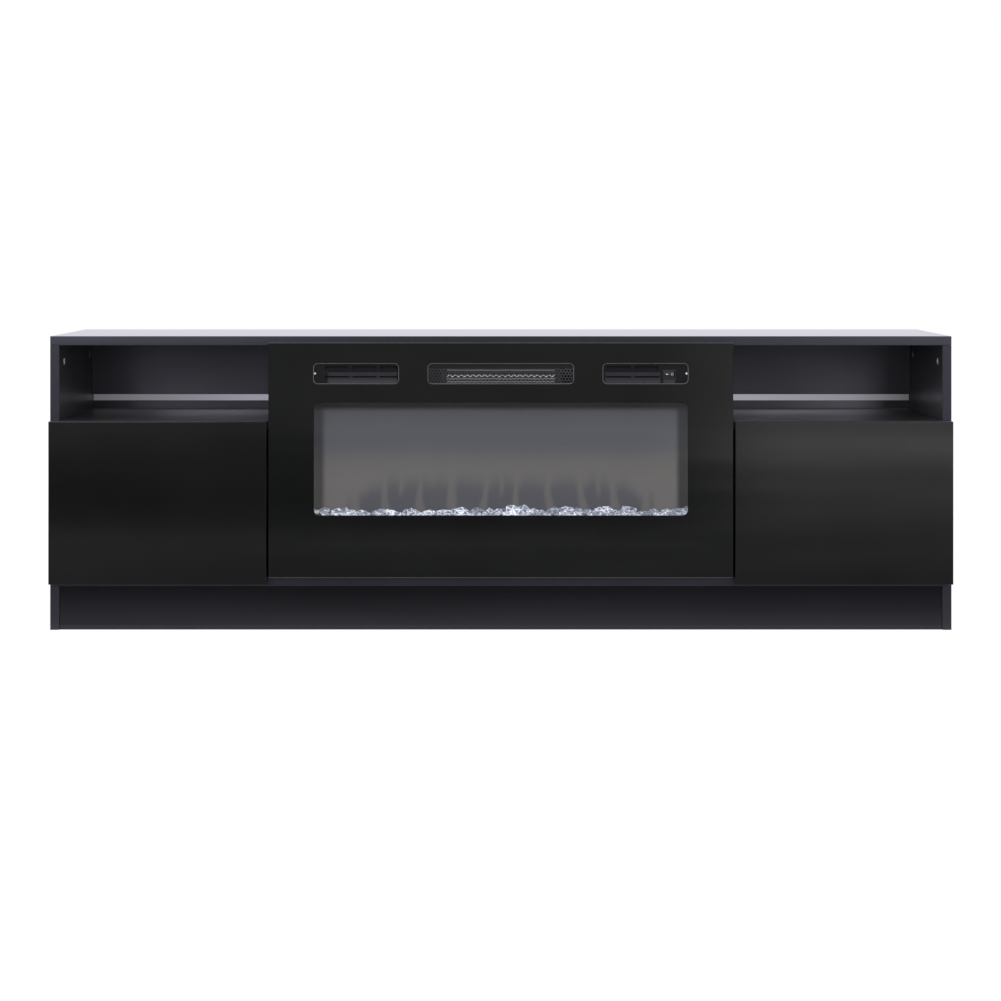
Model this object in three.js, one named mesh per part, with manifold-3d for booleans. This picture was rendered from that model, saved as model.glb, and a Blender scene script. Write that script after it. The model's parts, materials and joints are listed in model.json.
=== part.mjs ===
// A low television stand in gloss board with an electric fireplace in its middle bay.
// Millimetres. +X is to the viewer's right, +Y to the back, +Z up; the floor is z = 0.
import * as THREE from "three";
import { mergeVertices } from "three/addons/utils/BufferGeometryUtils.js";
import Module from "manifold-3d";

const wasm = await Module();
wasm.setup();

// Driving dimensions
const standWidth = 1780;
const standHeight = 580;
const standDepth = 400;
const boardThick = 18;
const doorThick = 16;
const doorStandoff = 4; // from the carcass's front edges to the backs of the doors
const plinthHeight = 87;
const nicheHeight = 149; // clear height of the open niches
const bayWidth = 880; // clear width of the fireplace bay
const fit = 0.3; // between pieces that slide, swing or are let into each other
const overrun = 2; // how far a cutting solid runs past what it cuts
const weld = 0.001; // vertices nearer than this are one

// Backs: thin boards let into grooves, with an open cable slit across each niche
const back = { thick: 5, inset: 9, grooveDepth: 6, slitHeight: 13, slitLift: 16, cableHoleRadius: 30 };
const plinth = { recess: 4 };
const rail = { height: 80 };
const cam = {
  radius: 7.5,
  length: 12.5,
  drop: 34,
  front: 52, // from the carcass's front edge
  rear: 50, // from its rear edge
  slotWidth: 2,
  slotLength: 9,
  slotDepth: 3,
};

// Doors, and the concealed cup hinges that carry them
const door = { innerGap: 3, bottomLap: 13, edge: 1.5 };
const hinge = {
  pocketDepth: 12,
  cupRadius: 17.5,
  cupWall: 1,
  cupInset: 22.5, // from the door's outer edge to the cup's centre
  flangeRadius: 19.5,
  flangeThick: 1.5,
  pivotInset: 8,
  endInset: 80, // from the door's top and bottom edges to the hinges
  armWidth: 8,
  armThick: 10,
  armLength: 67,
  plateThick: 4,
  plateHeight: 34,
  plateLength: 40,
  snoutWidth: 5,
  snoutClear: 1.2,
  neckFront: 2, // behind the door's back
  neckBack: 10,
};
const latch = {
  offset: 22, // from the partition to the latch's centre line
  width: 14,
  height: 14,
  length: 74,
  recess: 2,
  flangeWidth: 32,
  flangeThick: 2.5,
  boreDepth: 62,
  plungerRadius: 4,
  plungerLength: 52,
  plungerEdge: 0.8,
};

// The fireplace insert: a sheet-steel housing, a pressed front pan and a glass over it
const sheet = 1.2;
const housing = { clear: 3, depth: 140, topGap: 27, flangeLap: 12, flangeDrop: 2 };
const rearVent = { columns: 8, width: 5, height: 36, pitch: 14, insetX: 186, drop: 61 };
const glass = {
  thick: 4,
  print: 0.3,
  sideReveal: 1,
  topDrop: 12,
  bottomLift: 1,
  cornerRadius: 3,
};
const pane = { side: 89.5, bottom: 122, radius: 11 }; // printed margins of the clear view of the fire
const vent = { top: 40.5, height: 40.5, width: 168, radius: 9, outset: 1, outletGap: 57, paneGap: 37 };
const pan = { inset: 8, lap: 6 };
const louvre = {
  width: 48,
  height: 10,
  gap: 6,
  nip: 2.5, // off each corner
  rows: 2,
  rowPitch: 18.5,
  lift: 6.5,
  tabDepth: 8,
  tabRise: 6,
};
const leftLouvres = { count: 3, start: 22 };
const rightLouvres = { count: 2, bezelGap: 8.2 };
const screw = { radius: 2.2, dome: 1.2, rim: 0.4, inset: 2.8 };
const rocker = {
  bezelWidth: 25.6,
  bezelHeight: 17.7,
  bezelThick: 1.8,
  bodyInset: 1.6,
  bodyDepth: 18,
  inset: 37, // from the vent's outer end to the middle
  lift: 18.8, // above the vent's lower edge
  rim: 2,
  halfLength: 10,
  front: 3, // from the pivot to the middle of the face
  backHalf: 8,
  rear: 3,
  shoulder: 1,
  tilt: 10,
  bladeWidth: 5,
  bladeThick: 0.8,
  bladeLength: 8,
  bladePitch: 7,
};
const mesh = { pitch: 11, web: 1.6, thick: 0.8, lap: 4, rim: 1.5 };

// Heater and blower, above a baffle
const baffle = { drop: 21 }; // below the vents
const duct = { reveal: 0.5, bottom: 16, length: 44 };
const heater = {
  sideGap: 32,
  plateThick: 2,
  depth: 14,
  ribbonDepth: 6,
  ribbonThick: 0.9,
  amplitude: 3,
  pitch: 13,
  rows: 3,
  rowPitch: 12,
  setBack: 18,
};
const blower = {
  sideGap: 30,
  rotorRadius: 19,
  bladeDepth: 6,
  bladeThick: 1,
  blades: 16,
  discThick: 2,
  shaftRadius: 3,
  scrollGap: 4,
  plateThick: 1.5,
  plateDepth: 56,
  endGap: 4,
  motorRadius: 18,
  motorLength: 42,
  shaftIntoMotor: 14,
  wrapStart: 30, // degrees below the axis, at the back
};

// Flame picture: a lit rotor behind a cut-out sheet throws light on a frosted screen
const screen = { thick: 3, setBack: 60 };
const tray = { drop: 21.8, lip: 18, frontGap: 2, rearLap: 4 };
const bed = {
  thick: 22,
  gap: 1,
  stonePitch: 24,
  stoneRadius: 13,
  sizeShare: 0.18,
  stoneSpread: 2,
  rowInset: 18,
};
const cutout = {
  setBack: 76,
  baseDrop: 4, // from the tray's underside to the foot of the flames
  rise: 154,
  flames: 13,
  flameHeight: 120,
  heightShare: 0.16,
  flameWidth: 40,
  lean: 9,
};
const flameRotor = {
  setBack: 103,
  lift: 85,
  rodRadius: 3,
  petalRows: 3,
  petals: 11,
  petalWidth: 34,
  petalLength: 17,
  petalThick: 0.8,
  hubRadius: 5,
  endGap: 16,
};
const flameMotor = { radius: 25, length: 20, shaftIn: 12 };
const bearing = { radius: 8, length: 8 };
const leds = { boardWidth: 12, boardThick: 1.6, setBack: 84, count: 12, size: 5, rise: 1.6 };
const board = { width: 96, depth: 62, thick: 1.6, standoff: 6, postRadius: 3, sideGap: 58, setBack: 90 };
const gland = { radius: 8, flangeRadius: 12, flangeThick: 3, inside: 8, boreRadius: 4, insetX: 36, lift: 28 };

const curveSteps = 3; // half the steps in a quarter turn of a small round corner
const roundSteps = 16; // round a lathe or a cylinder
const unitExtrude = { depth: 1, bevelEnabled: false, curveSegments: curveSteps };
const spreadSeeds = { step: 12.9898, turn: 78.233, size: 43758.5453 };

// Places that follow from the sizes
const halfWidth = standWidth / 2;
const frontY = -standDepth / 2;
const backY = standDepth / 2;
const carcassFrontY = frontY + doorThick + doorStandoff;
const topUnderZ = standHeight - boardThick;
const sideInnerX = halfWidth - boardThick;
const bayHalf = bayWidth / 2;
const partitionOuterX = bayHalf + boardThick;
const bottomTopZ = plinthHeight + boardThick;
const shelfTopZ = topUnderZ - nicheHeight;
const shelfUnderZ = shelfTopZ - boardThick;
const backFrontY = backY - back.inset - back.thick;
const slitBottomZ = shelfTopZ + back.slitLift;
const slitTopZ = slitBottomZ + back.slitHeight;
const doorInnerX = partitionOuterX + door.innerGap;
const doorBottomZ = bottomTopZ - door.bottomLap;
const doorBackY = frontY + doorThick;

const housingHalf = bayHalf - housing.clear;
const housingInner = housingHalf - sheet;
const housingBackY = carcassFrontY + housing.depth;
const housingTopZ = topUnderZ - housing.topGap;
const floorZ = bottomTopZ + sheet;
const ceilingZ = housingTopZ - sheet;
const flangeHalf = bayHalf + housing.flangeLap;
const flangeFrontY = carcassFrontY - sheet;
const rearWallY = housingBackY - sheet;
const glassHalf = partitionOuterX - glass.sideReveal;
const glassBottomZ = bottomTopZ + glass.bottomLift;
const glassTopZ = standHeight - glass.topDrop;
const glassBackY = frontY + glass.thick;
const printBackY = glassBackY + glass.print;
const panFrontY = printBackY + fit;
const panSkinY = panFrontY + sheet;
const ventTopZ = glassTopZ - vent.top;
const ventBottomZ = ventTopZ - vent.height;
const paneHalf = glassHalf - pane.side;
const paneBottomZ = glassBottomZ + pane.bottom;
const paneTopZ = ventBottomZ - vent.paneGap;
const ventOuterX = paneHalf + vent.outset;
const ventInnerX = ventOuterX - vent.width;
const outletHalf = ventInnerX - vent.outletGap;
const rockerX = ventOuterX - rocker.inset;
const rockerZ = ventBottomZ + rocker.lift;
const baffleZ = ventBottomZ - baffle.drop;
const baffleTopZ = baffleZ + sheet;
const meshHalf = outletHalf + mesh.lap;
const meshBackY = panSkinY + mesh.thick;
const ductHalf = meshHalf + duct.reveal;
const heaterHalf = ductHalf - heater.sideGap;
const blowerHalf = ductHalf - blower.sideGap;
const ductBottomZ = baffleTopZ + duct.bottom;
const ductBackY = meshBackY + duct.length;
const trayZ = paneBottomZ - tray.drop;
const trayTopZ = trayZ + sheet;
const screenFrontY = carcassFrontY + screen.setBack;
const screenBackY = screenFrontY + screen.thick;

// Makes a closed geometry a solid that can be joined and cut
function solidOf(geometry) {
  const bare = new THREE.BufferGeometry();
  bare.setAttribute("position", geometry.getAttribute("position"));
  bare.setIndex(geometry.index);
  const merged = mergeVertices(bare, weld);
  return new wasm.Manifold(
    new wasm.Mesh({
      numProp: 3,
      vertProperties: merged.getAttribute("position").array,
      triVerts: new Uint32Array(merged.index.array),
    }),
  );
}

function geometryOf(solid) {
  const made = solid.getMesh();
  const geometry = new THREE.BufferGeometry();
  geometry.setAttribute("position", new THREE.BufferAttribute(made.vertProperties, made.numProp));
  geometry.setIndex(new THREE.BufferAttribute(made.triVerts, 1));
  const faceted = geometry.toNonIndexed();
  faceted.computeVertexNormals();
  return faceted;
}

function joined(...geometries) {
  return geometryOf(geometries.map(solidOf).reduce((whole, next) => whole.add(next)));
}

function cut(base, ...tools) {
  return geometryOf(tools.map(solidOf).reduce((left, tool) => left.subtract(tool), solidOf(base)));
}

// A box between two corners, which lie exactly there, so that neighbours can share a face
function block(low, high) {
  const box = new THREE.BoxGeometry(1, 1, 1);
  const at = box.getAttribute("position");
  for (let i = 0; i < at.count; i++) {
    at.setXYZ(
      i,
      at.getX(i) < 0 ? low[0] : high[0],
      at.getY(i) < 0 ? low[1] : high[1],
      at.getZ(i) < 0 ? low[2] : high[2],
    );
  }
  return box;
}

// An outline in X and Z as a plate between two depths
function plateAcross(shape, y0, y1) {
  const plate = new THREE.ExtrudeGeometry(shape, unitExtrude);
  const at = plate.getAttribute("position");
  for (let i = 0; i < at.count; i++) {
    at.setXYZ(i, at.getX(i), at.getZ(i) > 0 ? y0 : y1, at.getY(i));
  }
  return plate;
}

// An outline in Y and Z as a profile between two places across the stand
function profileAlong(shape, x0, x1) {
  const bar = new THREE.ExtrudeGeometry(shape, unitExtrude);
  const at = bar.getAttribute("position");
  for (let i = 0; i < at.count; i++) {
    at.setXYZ(i, at.getZ(i) > 0 ? x1 : x0, at.getX(i), at.getY(i));
  }
  return bar;
}

// An outline in X and Y as a slice between two heights
function slice(shape, z0, z1) {
  const flat = new THREE.ExtrudeGeometry(shape, unitExtrude);
  const at = flat.getAttribute("position");
  for (let i = 0; i < at.count; i++) {
    at.setXYZ(i, at.getX(i), at.getY(i), at.getZ(i) > 0 ? z1 : z0);
  }
  return flat;
}

function polygon(points) {
  return new THREE.Shape(points.map(([x, y]) => new THREE.Vector2(x, y)));
}

function roundedRect(x0, z0, x1, z1, radius, Outline = THREE.Shape) {
  const quarter = Math.PI / 2;
  const outline = new Outline();
  outline.absarc(x1 - radius, z0 + radius, radius, -quarter, 0);
  outline.absarc(x1 - radius, z1 - radius, radius, 0, quarter);
  outline.absarc(x0 + radius, z1 - radius, radius, quarter, 2 * quarter);
  outline.absarc(x0 + radius, z0 + radius, radius, 2 * quarter, 3 * quarter);
  outline.closePath();
  return outline;
}

// A turned piece about the depth axis: points are radius and depth, from the front's middle to the back's
function turned(points, steps = roundSteps) {
  return new THREE.LatheGeometry(points.map(([r, y]) => new THREE.Vector2(r, y)), steps);
}

function rodProfile(radius, from, to) {
  return [[0, from], [radius, from], [radius, to], [0, to]];
}

// A round bar across the stand, centred on the X axis
function barAcross(radius, x0, x1, steps = roundSteps) {
  return turned(rodProfile(radius, x0, x1), steps).rotateZ(-Math.PI / 2);
}

function piece(name, geometry, look) {
  const made = new THREE.Mesh(geometry, new THREE.MeshStandardMaterial(look));
  made.name = name;
  return made;
}

const glossBoard = { color: 0x14151a, roughness: 0.08, metalness: 0 };
const plainBoard = { color: 0x1b1b1e, roughness: 0.5, metalness: 0 };
const blackSteel = { color: 0x17171a, roughness: 0.5, metalness: 0.4 };
const brightSteel = { color: 0xb9bcc0, roughness: 0.3, metalness: 1 };
const blackPlastic = { color: 0x101012, roughness: 0.4, metalness: 0 };
const clearGlass = { color: 0xdfe6e8, roughness: 0.02, metalness: 0, transparent: true, opacity: 0.2 };
const frosted = { color: 0xc9cdd2, roughness: 0.6, metalness: 0 };
const crystal = { color: 0xdde4ea, roughness: 0.05, metalness: 0 };

// Grooves for the backs of one side, run out of a board's face by the overrun
function backGroove(low, high) {
  return block([low[0], backFrontY - fit, low[1]], [high[0], backFrontY + back.thick + fit, high[1]]);
}

function topPanel() {
  const base = block([-halfWidth, carcassFrontY, topUnderZ], [halfWidth, backY, standHeight]);
  const inner = partitionOuterX - back.grooveDepth;
  const outer = sideInnerX + back.grooveDepth;
  const grooves = [-1, 1].map((side) =>
    backGroove(
      [Math.min(side * inner, side * outer), topUnderZ - overrun],
      [Math.max(side * inner, side * outer), topUnderZ + back.grooveDepth],
    ),
  );
  return piece("top_panel", cut(base, ...grooves), glossBoard);
}

function bottomPanel() {
  const base = block([-sideInnerX, carcassFrontY, plinthHeight], [sideInnerX, backY, bottomTopZ]);
  const inner = partitionOuterX - back.grooveDepth;
  const outer = sideInnerX + overrun;
  const grooves = [-1, 1].map((side) =>
    backGroove(
      [Math.min(side * inner, side * outer), bottomTopZ - back.grooveDepth],
      [Math.max(side * inner, side * outer), bottomTopZ + overrun],
    ),
  );
  return piece("bottom_panel", cut(base, ...grooves), glossBoard);
}

function plinths() {
  const frontFace = carcassFrontY + plinth.recess;
  const rearFace = backY - plinth.recess;
  const front = block([-sideInnerX, frontFace, 0], [sideInnerX, frontFace + boardThick, plinthHeight]);
  const rear = block([-sideInnerX, rearFace - boardThick, 0], [sideInnerX, rearFace, plinthHeight]);
  return [piece("plinth_front", front, glossBoard), piece("plinth_rear", rear, plainBoard)];
}

function rearRail() {
  const low = [-bayHalf, backY - boardThick, topUnderZ - rail.height];
  return piece("rear_rail", block(low, [bayHalf, backY, topUnderZ]), plainBoard);
}

function camDepths() {
  return [carcassFrontY + cam.front, backY - cam.rear];
}

function camSocket(y) {
  const socket = barAcross(cam.radius + fit, -overrun, cam.length + fit);
  return socket.translate(sideInnerX, y, topUnderZ - cam.drop);
}

// A turned cam with a cross slot in its flat face
function camLock(y) {
  const body = barAcross(cam.radius, fit, cam.length);
  const half = cam.slotWidth / 2;
  const reach = cam.slotLength / 2;
  const across = block([-overrun, -reach, -half], [fit + cam.slotDepth, reach, half]);
  const upright = block([-overrun, -half, -reach], [fit + cam.slotDepth, half, reach]);
  return cut(body, across, upright).translate(sideInnerX, y, topUnderZ - cam.drop);
}

function sidePanel() {
  const base = block([sideInnerX, carcassFrontY, 0], [halfWidth, backY, topUnderZ]);
  const groove = backGroove(
    [sideInnerX - overrun, bottomTopZ - back.grooveDepth],
    [sideInnerX + back.grooveDepth, topUnderZ + overrun],
  );
  return cut(base, groove, ...camDepths().map(camSocket));
}

function partition() {
  const base = block([bayHalf, carcassFrontY, bottomTopZ], [partitionOuterX, backY, topUnderZ]);
  const groove = backGroove(
    [partitionOuterX - back.grooveDepth, bottomTopZ - overrun],
    [partitionOuterX + overrun, topUnderZ + overrun],
  );
  return cut(base, groove);
}

function nicheShelf() {
  return block([partitionOuterX, carcassFrontY, shelfUnderZ], [sideInnerX, backFrontY, shelfTopZ]);
}

function plinthBrace() {
  const reach = plinth.recess + boardThick;
  return block([bayHalf, carcassFrontY + reach, 0], [partitionOuterX, backY - reach, plinthHeight]);
}

function backBoard(z0, z1) {
  const low = [partitionOuterX - back.grooveDepth + fit, backFrontY, z0];
  return block(low, [sideInnerX + back.grooveDepth - fit, backFrontY + back.thick, z1]);
}

function upperBack() {
  return backBoard(slitTopZ, topUnderZ + back.grooveDepth - fit);
}

// The lower back has a round hole for the leads of what stands in the cupboard
function lowerBack() {
  const hole = turned(rodProfile(back.cableHoleRadius, -overrun, back.thick + overrun));
  hole.translate((partitionOuterX + sideInnerX) / 2, backFrontY, (bottomTopZ + shelfUnderZ) / 2);
  return cut(backBoard(bottomTopZ - back.grooveDepth + fit, slitBottomZ), hole);
}

// Hinges: x is measured inwards from the pivot and y backwards, before the side's group places them
const pivotX = halfWidth - hinge.pivotInset;
const pivotY = frontY + doorThick / 2;
const cupCentre = hinge.cupInset - hinge.pivotInset;
const doorBackFromPivot = doorThick / 2;
const cupFloor = doorBackFromPivot - hinge.pocketDepth + fit;
const hingeHeights = [doorBottomZ + hinge.endInset, shelfTopZ - hinge.endInset];

function doorPanel() {
  const flat = doorThick - 2 * door.edge;
  const outline = polygon([
    [doorInnerX, doorBottomZ],
    [halfWidth, doorBottomZ],
    [halfWidth, shelfTopZ],
    [doorInnerX, shelfTopZ],
  ]);
  const panel = new THREE.ExtrudeGeometry(outline, {
    depth: flat,
    bevelSegments: 2,
    bevelThickness: door.edge,
    bevelSize: door.edge,
    bevelOffset: -door.edge,
  });
  panel.rotateX(Math.PI / 2).translate(0, doorBackY - door.edge, 0);
  const pockets = hingeHeights.map((z) => {
    const drill = rodProfile(hinge.cupRadius + fit, doorBackY - hinge.pocketDepth, doorBackY + overrun);
    return turned(drill).translate(pivotX - cupCentre, 0, z);
  });
  return cut(panel, ...pockets);
}

function hingeCup() {
  const seat = doorBackFromPivot + fit;
  const top = seat + hinge.flangeThick;
  const cup = turned([
    [0, cupFloor],
    [hinge.cupRadius, cupFloor],
    [hinge.cupRadius, seat],
    [hinge.flangeRadius, seat],
    [hinge.flangeRadius, top],
    [hinge.cupRadius - hinge.cupWall, top],
    [hinge.cupRadius - hinge.cupWall, cupFloor + hinge.cupWall],
    [0, cupFloor + hinge.cupWall],
  ]);
  return cup.translate(-cupCentre, 0, 0);
}

// A bent arm on a plate: it reaches from the side panel round the door's edge into the cup
function hingeArm() {
  const plateX = boardThick - hinge.pivotInset;
  const armX = plateX + hinge.plateThick;
  const armBack = doorBackFromPivot + hinge.neckBack;
  const rear = armBack + hinge.armLength;
  const tip = cupFloor + hinge.cupWall + hinge.snoutClear;
  const snout = [cupCentre - hinge.snoutWidth / 2, cupCentre + hinge.snoutWidth / 2];
  const outline = polygon([
    [-armX, rear],
    [-armX, armBack],
    [-snout[0], doorBackFromPivot + hinge.neckFront],
    [-snout[0], tip],
    [-snout[1], tip],
    [-armX - hinge.armThick, armBack],
    [-armX - hinge.armThick, rear],
  ]);
  const arm = slice(outline, -hinge.armWidth / 2, hinge.armWidth / 2);
  const plateFront = rear - hinge.plateLength;
  const plateHalf = hinge.plateHeight / 2;
  const half = hinge.armWidth / 2;
  const ridge = block([-armX - hinge.armThick / 2, plateFront, -half], [-plateX, rear, half]);
  const wings = block([-armX, plateFront, -plateHalf], [-plateX, rear, plateHalf]);
  return joined(arm, ridge, wings);
}

const latchX = partitionOuterX + latch.offset;
const latchFrontY = carcassFrontY + latch.recess;
const latchAxisZ = shelfUnderZ - latch.height / 2;

function pushLatch() {
  const half = latch.width / 2;
  const wing = latch.flangeWidth / 2;
  const rear = latchFrontY + latch.length;
  const bodyZ = shelfUnderZ - latch.height;
  const flangeZ = shelfUnderZ - latch.flangeThick;
  const body = block([latchX - half, latchFrontY, bodyZ], [latchX + half, rear, shelfUnderZ]);
  const flange = block([latchX - wing, latchFrontY, flangeZ], [latchX + wing, rear, shelfUnderZ]);
  const drill = rodProfile(latch.plungerRadius + fit, latchFrontY - overrun, latchFrontY + latch.boreDepth);
  return cut(joined(body, flange), turned(drill).translate(latchX, 0, latchAxisZ));
}

function latchPlunger() {
  const tip = doorBackY + fit;
  const r = latch.plungerRadius;
  const plunger = turned([
    [0, tip],
    [r - latch.plungerEdge, tip],
    [r, tip + latch.plungerEdge],
    [r, tip + latch.plungerLength],
    [0, tip + latch.plungerLength],
  ]);
  return plunger.translate(latchX, 0, latchAxisZ);
}

// Everything that one end of the stand has, drawn for the right and mirrored for the left
function standEnd(side, mirror) {
  const end = new THREE.Group();
  end.scale.set(mirror, 1, 1);
  end.add(
    piece(`${side}_side_panel`, sidePanel(), glossBoard),
    piece(`${side}_partition`, partition(), glossBoard),
    piece(`${side}_niche_shelf`, nicheShelf(), glossBoard),
    piece(`${side}_plinth_brace`, plinthBrace(), plainBoard),
    piece(`${side}_upper_back`, upperBack(), plainBoard),
    piece(`${side}_lower_back`, lowerBack(), plainBoard),
    piece(`${side}_door`, doorPanel(), glossBoard),
    piece(`${side}_push_latch`, pushLatch(), blackPlastic),
    piece(`${side}_latch_plunger`, latchPlunger(), blackPlastic),
  );
  camDepths().forEach((y, i) => {
    end.add(piece(`${side}_cam_lock_${["front", "rear"][i]}`, camLock(y), brightSteel));
  });
  hingeHeights.forEach((z, i) => {
    const place = ["lower", "upper"][i];
    const pair = new THREE.Group();
    pair.position.set(pivotX, pivotY, z);
    pair.add(
      piece(`${side}_hinge_cup_${place}`, hingeCup(), brightSteel),
      piece(`${side}_hinge_arm_${place}`, hingeArm(), brightSteel),
    );
    end.add(pair);
  });
  return end;
}

// The housing: a five-sided box with a front flange, rear vents, a gland hole and a bearing boss
const flameAxisY = carcassFrontY + flameRotor.setBack;
const flameAxisZ = floorZ + flameRotor.lift;
const glandX = housingInner - gland.insetX;
const glandZ = floorZ + gland.lift;

function rearVents() {
  const slots = [];
  for (const side of [-1, 1]) {
    for (let i = 0; i < rearVent.columns; i++) {
      const centreX = side * (housingInner - rearVent.insetX);
      const x = centreX + (i - (rearVent.columns - 1) / 2) * rearVent.pitch;
      const half = rearVent.width / 2;
      const rise = rearVent.height / 2;
      const z = baffleZ - rearVent.drop;
      const low = [x - half, rearWallY - overrun, z - rise];
      slots.push(block(low, [x + half, housingBackY + overrun, z + rise]));
    }
  }
  return slots;
}

function insertHousing() {
  const box = block([-housingHalf, carcassFrontY, bottomTopZ], [housingHalf, housingBackY, housingTopZ]);
  const flangeTopZ = topUnderZ - housing.flangeDrop;
  const flange = block([-flangeHalf, flangeFrontY, bottomTopZ], [flangeHalf, carcassFrontY, flangeTopZ]);
  const cavity = block([-housingInner, flangeFrontY - overrun, floorZ], [housingInner, rearWallY, ceilingZ]);
  const boss = barAcross(bearing.radius, -housingInner - sheet / 2, -housingInner + bearing.length);
  const bore = barAcross(flameRotor.rodRadius + fit, -housingInner, -housingInner + bearing.length + overrun);
  const glandHole = turned(rodProfile(gland.radius + fit, rearWallY - overrun, housingBackY + overrun));
  const shell = cut(joined(box, flange), cavity, glandHole.translate(glandX, 0, glandZ), ...rearVents());
  const fitted = joined(shell, boss.translate(0, flameAxisY, flameAxisZ));
  return piece("insert_housing", cut(fitted, bore.translate(0, flameAxisY, flameAxisZ)), blackSteel);
}

// Louvres pressed in the pan behind the side vents: a slot with a tab bent in from its lower edge
function louvreColumns() {
  const pitch = louvre.width + louvre.gap;
  const leftStart = -ventOuterX + leftLouvres.start;
  const rightEnd = rockerX - rocker.bezelWidth / 2 - rightLouvres.bezelGap;
  const rightStart = rightEnd + louvre.gap - rightLouvres.count * pitch;
  return [
    ...Array.from({ length: leftLouvres.count }, (_, i) => leftStart + i * pitch),
    ...Array.from({ length: rightLouvres.count }, (_, i) => rightStart + i * pitch),
  ];
}

function eachLouvre(make) {
  const lowest = ventBottomZ + louvre.lift;
  const rows = Array.from({ length: louvre.rows }, (_, row) => lowest + row * louvre.rowPitch);
  return louvreColumns().flatMap((x) => rows.map((z) => make(x, z)));
}

function louvreSlot(x, z) {
  const nip = louvre.nip;
  const far = x + louvre.width;
  const top = z + louvre.height;
  const corners = [
    [x + nip, z],
    [far - nip, z],
    [far, z + nip],
    [far, top - nip],
    [far - nip, top],
    [x + nip, top],
    [x, top - nip],
    [x, z + nip],
  ];
  return new THREE.Path(corners.map(([u, v]) => new THREE.Vector2(u, v)));
}

function louvreTab(x, z) {
  const rise = louvre.tabRise;
  const profile = polygon([
    [panFrontY, z - sheet],
    [panSkinY, z - sheet],
    [panSkinY + louvre.tabDepth, z + rise - sheet],
    [panSkinY + louvre.tabDepth, z + rise],
    [panFrontY, z],
  ]);
  return profileAlong(profile, x + louvre.nip, x + louvre.width - louvre.nip);
}

function frontPan() {
  const edgeX = glassHalf - pan.inset;
  const low = glassBottomZ + pan.inset;
  const high = glassTopZ - pan.inset;
  const face = roundedRect(-edgeX, low, edgeX, high, glass.cornerRadius);
  face.holes.push(
    roundedRect(
      -paneHalf - pan.lap,
      paneBottomZ - pan.lap,
      paneHalf + pan.lap,
      paneTopZ + pan.lap,
      pane.radius,
      THREE.Path,
    ),
    roundedRect(-outletHalf, ventBottomZ, outletHalf, ventTopZ, vent.radius, THREE.Path),
    ...eachLouvre(louvreSlot),
  );
  const rockerHalf = rocker.bezelWidth / 2 - rocker.bodyInset + fit;
  const rockerRise = rocker.bezelHeight / 2 - rocker.bodyInset + fit;
  face.holes.push(
    roundedRect(
      rockerX - rockerHalf,
      rockerZ - rockerRise,
      rockerX + rockerHalf,
      rockerZ + rockerRise,
      fit,
      THREE.Path,
    ),
  );
  const rim = roundedRect(-edgeX, low, edgeX, high, glass.cornerRadius);
  const wallX = edgeX - sheet;
  const wallRadius = glass.cornerRadius - sheet;
  rim.holes.push(roundedRect(-wallX, low + sheet, wallX, high - sheet, wallRadius, THREE.Path));
  const skin = plateAcross(face, panFrontY, panSkinY);
  const walls = plateAcross(rim, panFrontY, flangeFrontY);
  return piece("front_pan", joined(skin, walls, ...eachLouvre(louvreTab)), blackSteel);
}

function ventHoles() {
  return [
    roundedRect(-outletHalf, ventBottomZ, outletHalf, ventTopZ, vent.radius, THREE.Path),
    roundedRect(-ventOuterX, ventBottomZ, -ventInnerX, ventTopZ, vent.radius, THREE.Path),
    roundedRect(ventInnerX, ventBottomZ, ventOuterX, ventTopZ, vent.radius, THREE.Path),
  ];
}

function frontGlass() {
  const outline = roundedRect(-glassHalf, glassBottomZ, glassHalf, glassTopZ, glass.cornerRadius);
  outline.holes.push(...ventHoles());
  return piece("front_glass", plateAcross(outline, frontY, glassBackY), clearGlass);
}

// The black print on the back of the glass, clear where the fire shows
function glassBorder() {
  const outline = roundedRect(-glassHalf, glassBottomZ, glassHalf, glassTopZ, glass.cornerRadius);
  const view = roundedRect(-paneHalf, paneBottomZ, paneHalf, paneTopZ, pane.radius, THREE.Path);
  outline.holes.push(view, ...ventHoles());
  return piece("glass_border", plateAcross(outline, glassBackY, printBackY), blackPlastic);
}

function louvreScrews() {
  return [-1, 1].map((side) => {
    const profile = [
      [0, panFrontY - screw.dome],
      [screw.radius / 2, panFrontY - screw.dome],
      [screw.radius, panFrontY - screw.rim],
      [screw.radius, panFrontY],
      [0, panFrontY],
    ];
    const dome = turned(profile, roundSteps / 2);
    dome.translate(side * (ventOuterX - screw.inset), 0, (ventBottomZ + ventTopZ) / 2);
    return piece(side < 0 ? "louvre_screw_left" : "louvre_screw_right", dome, brightSteel);
  });
}

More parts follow.
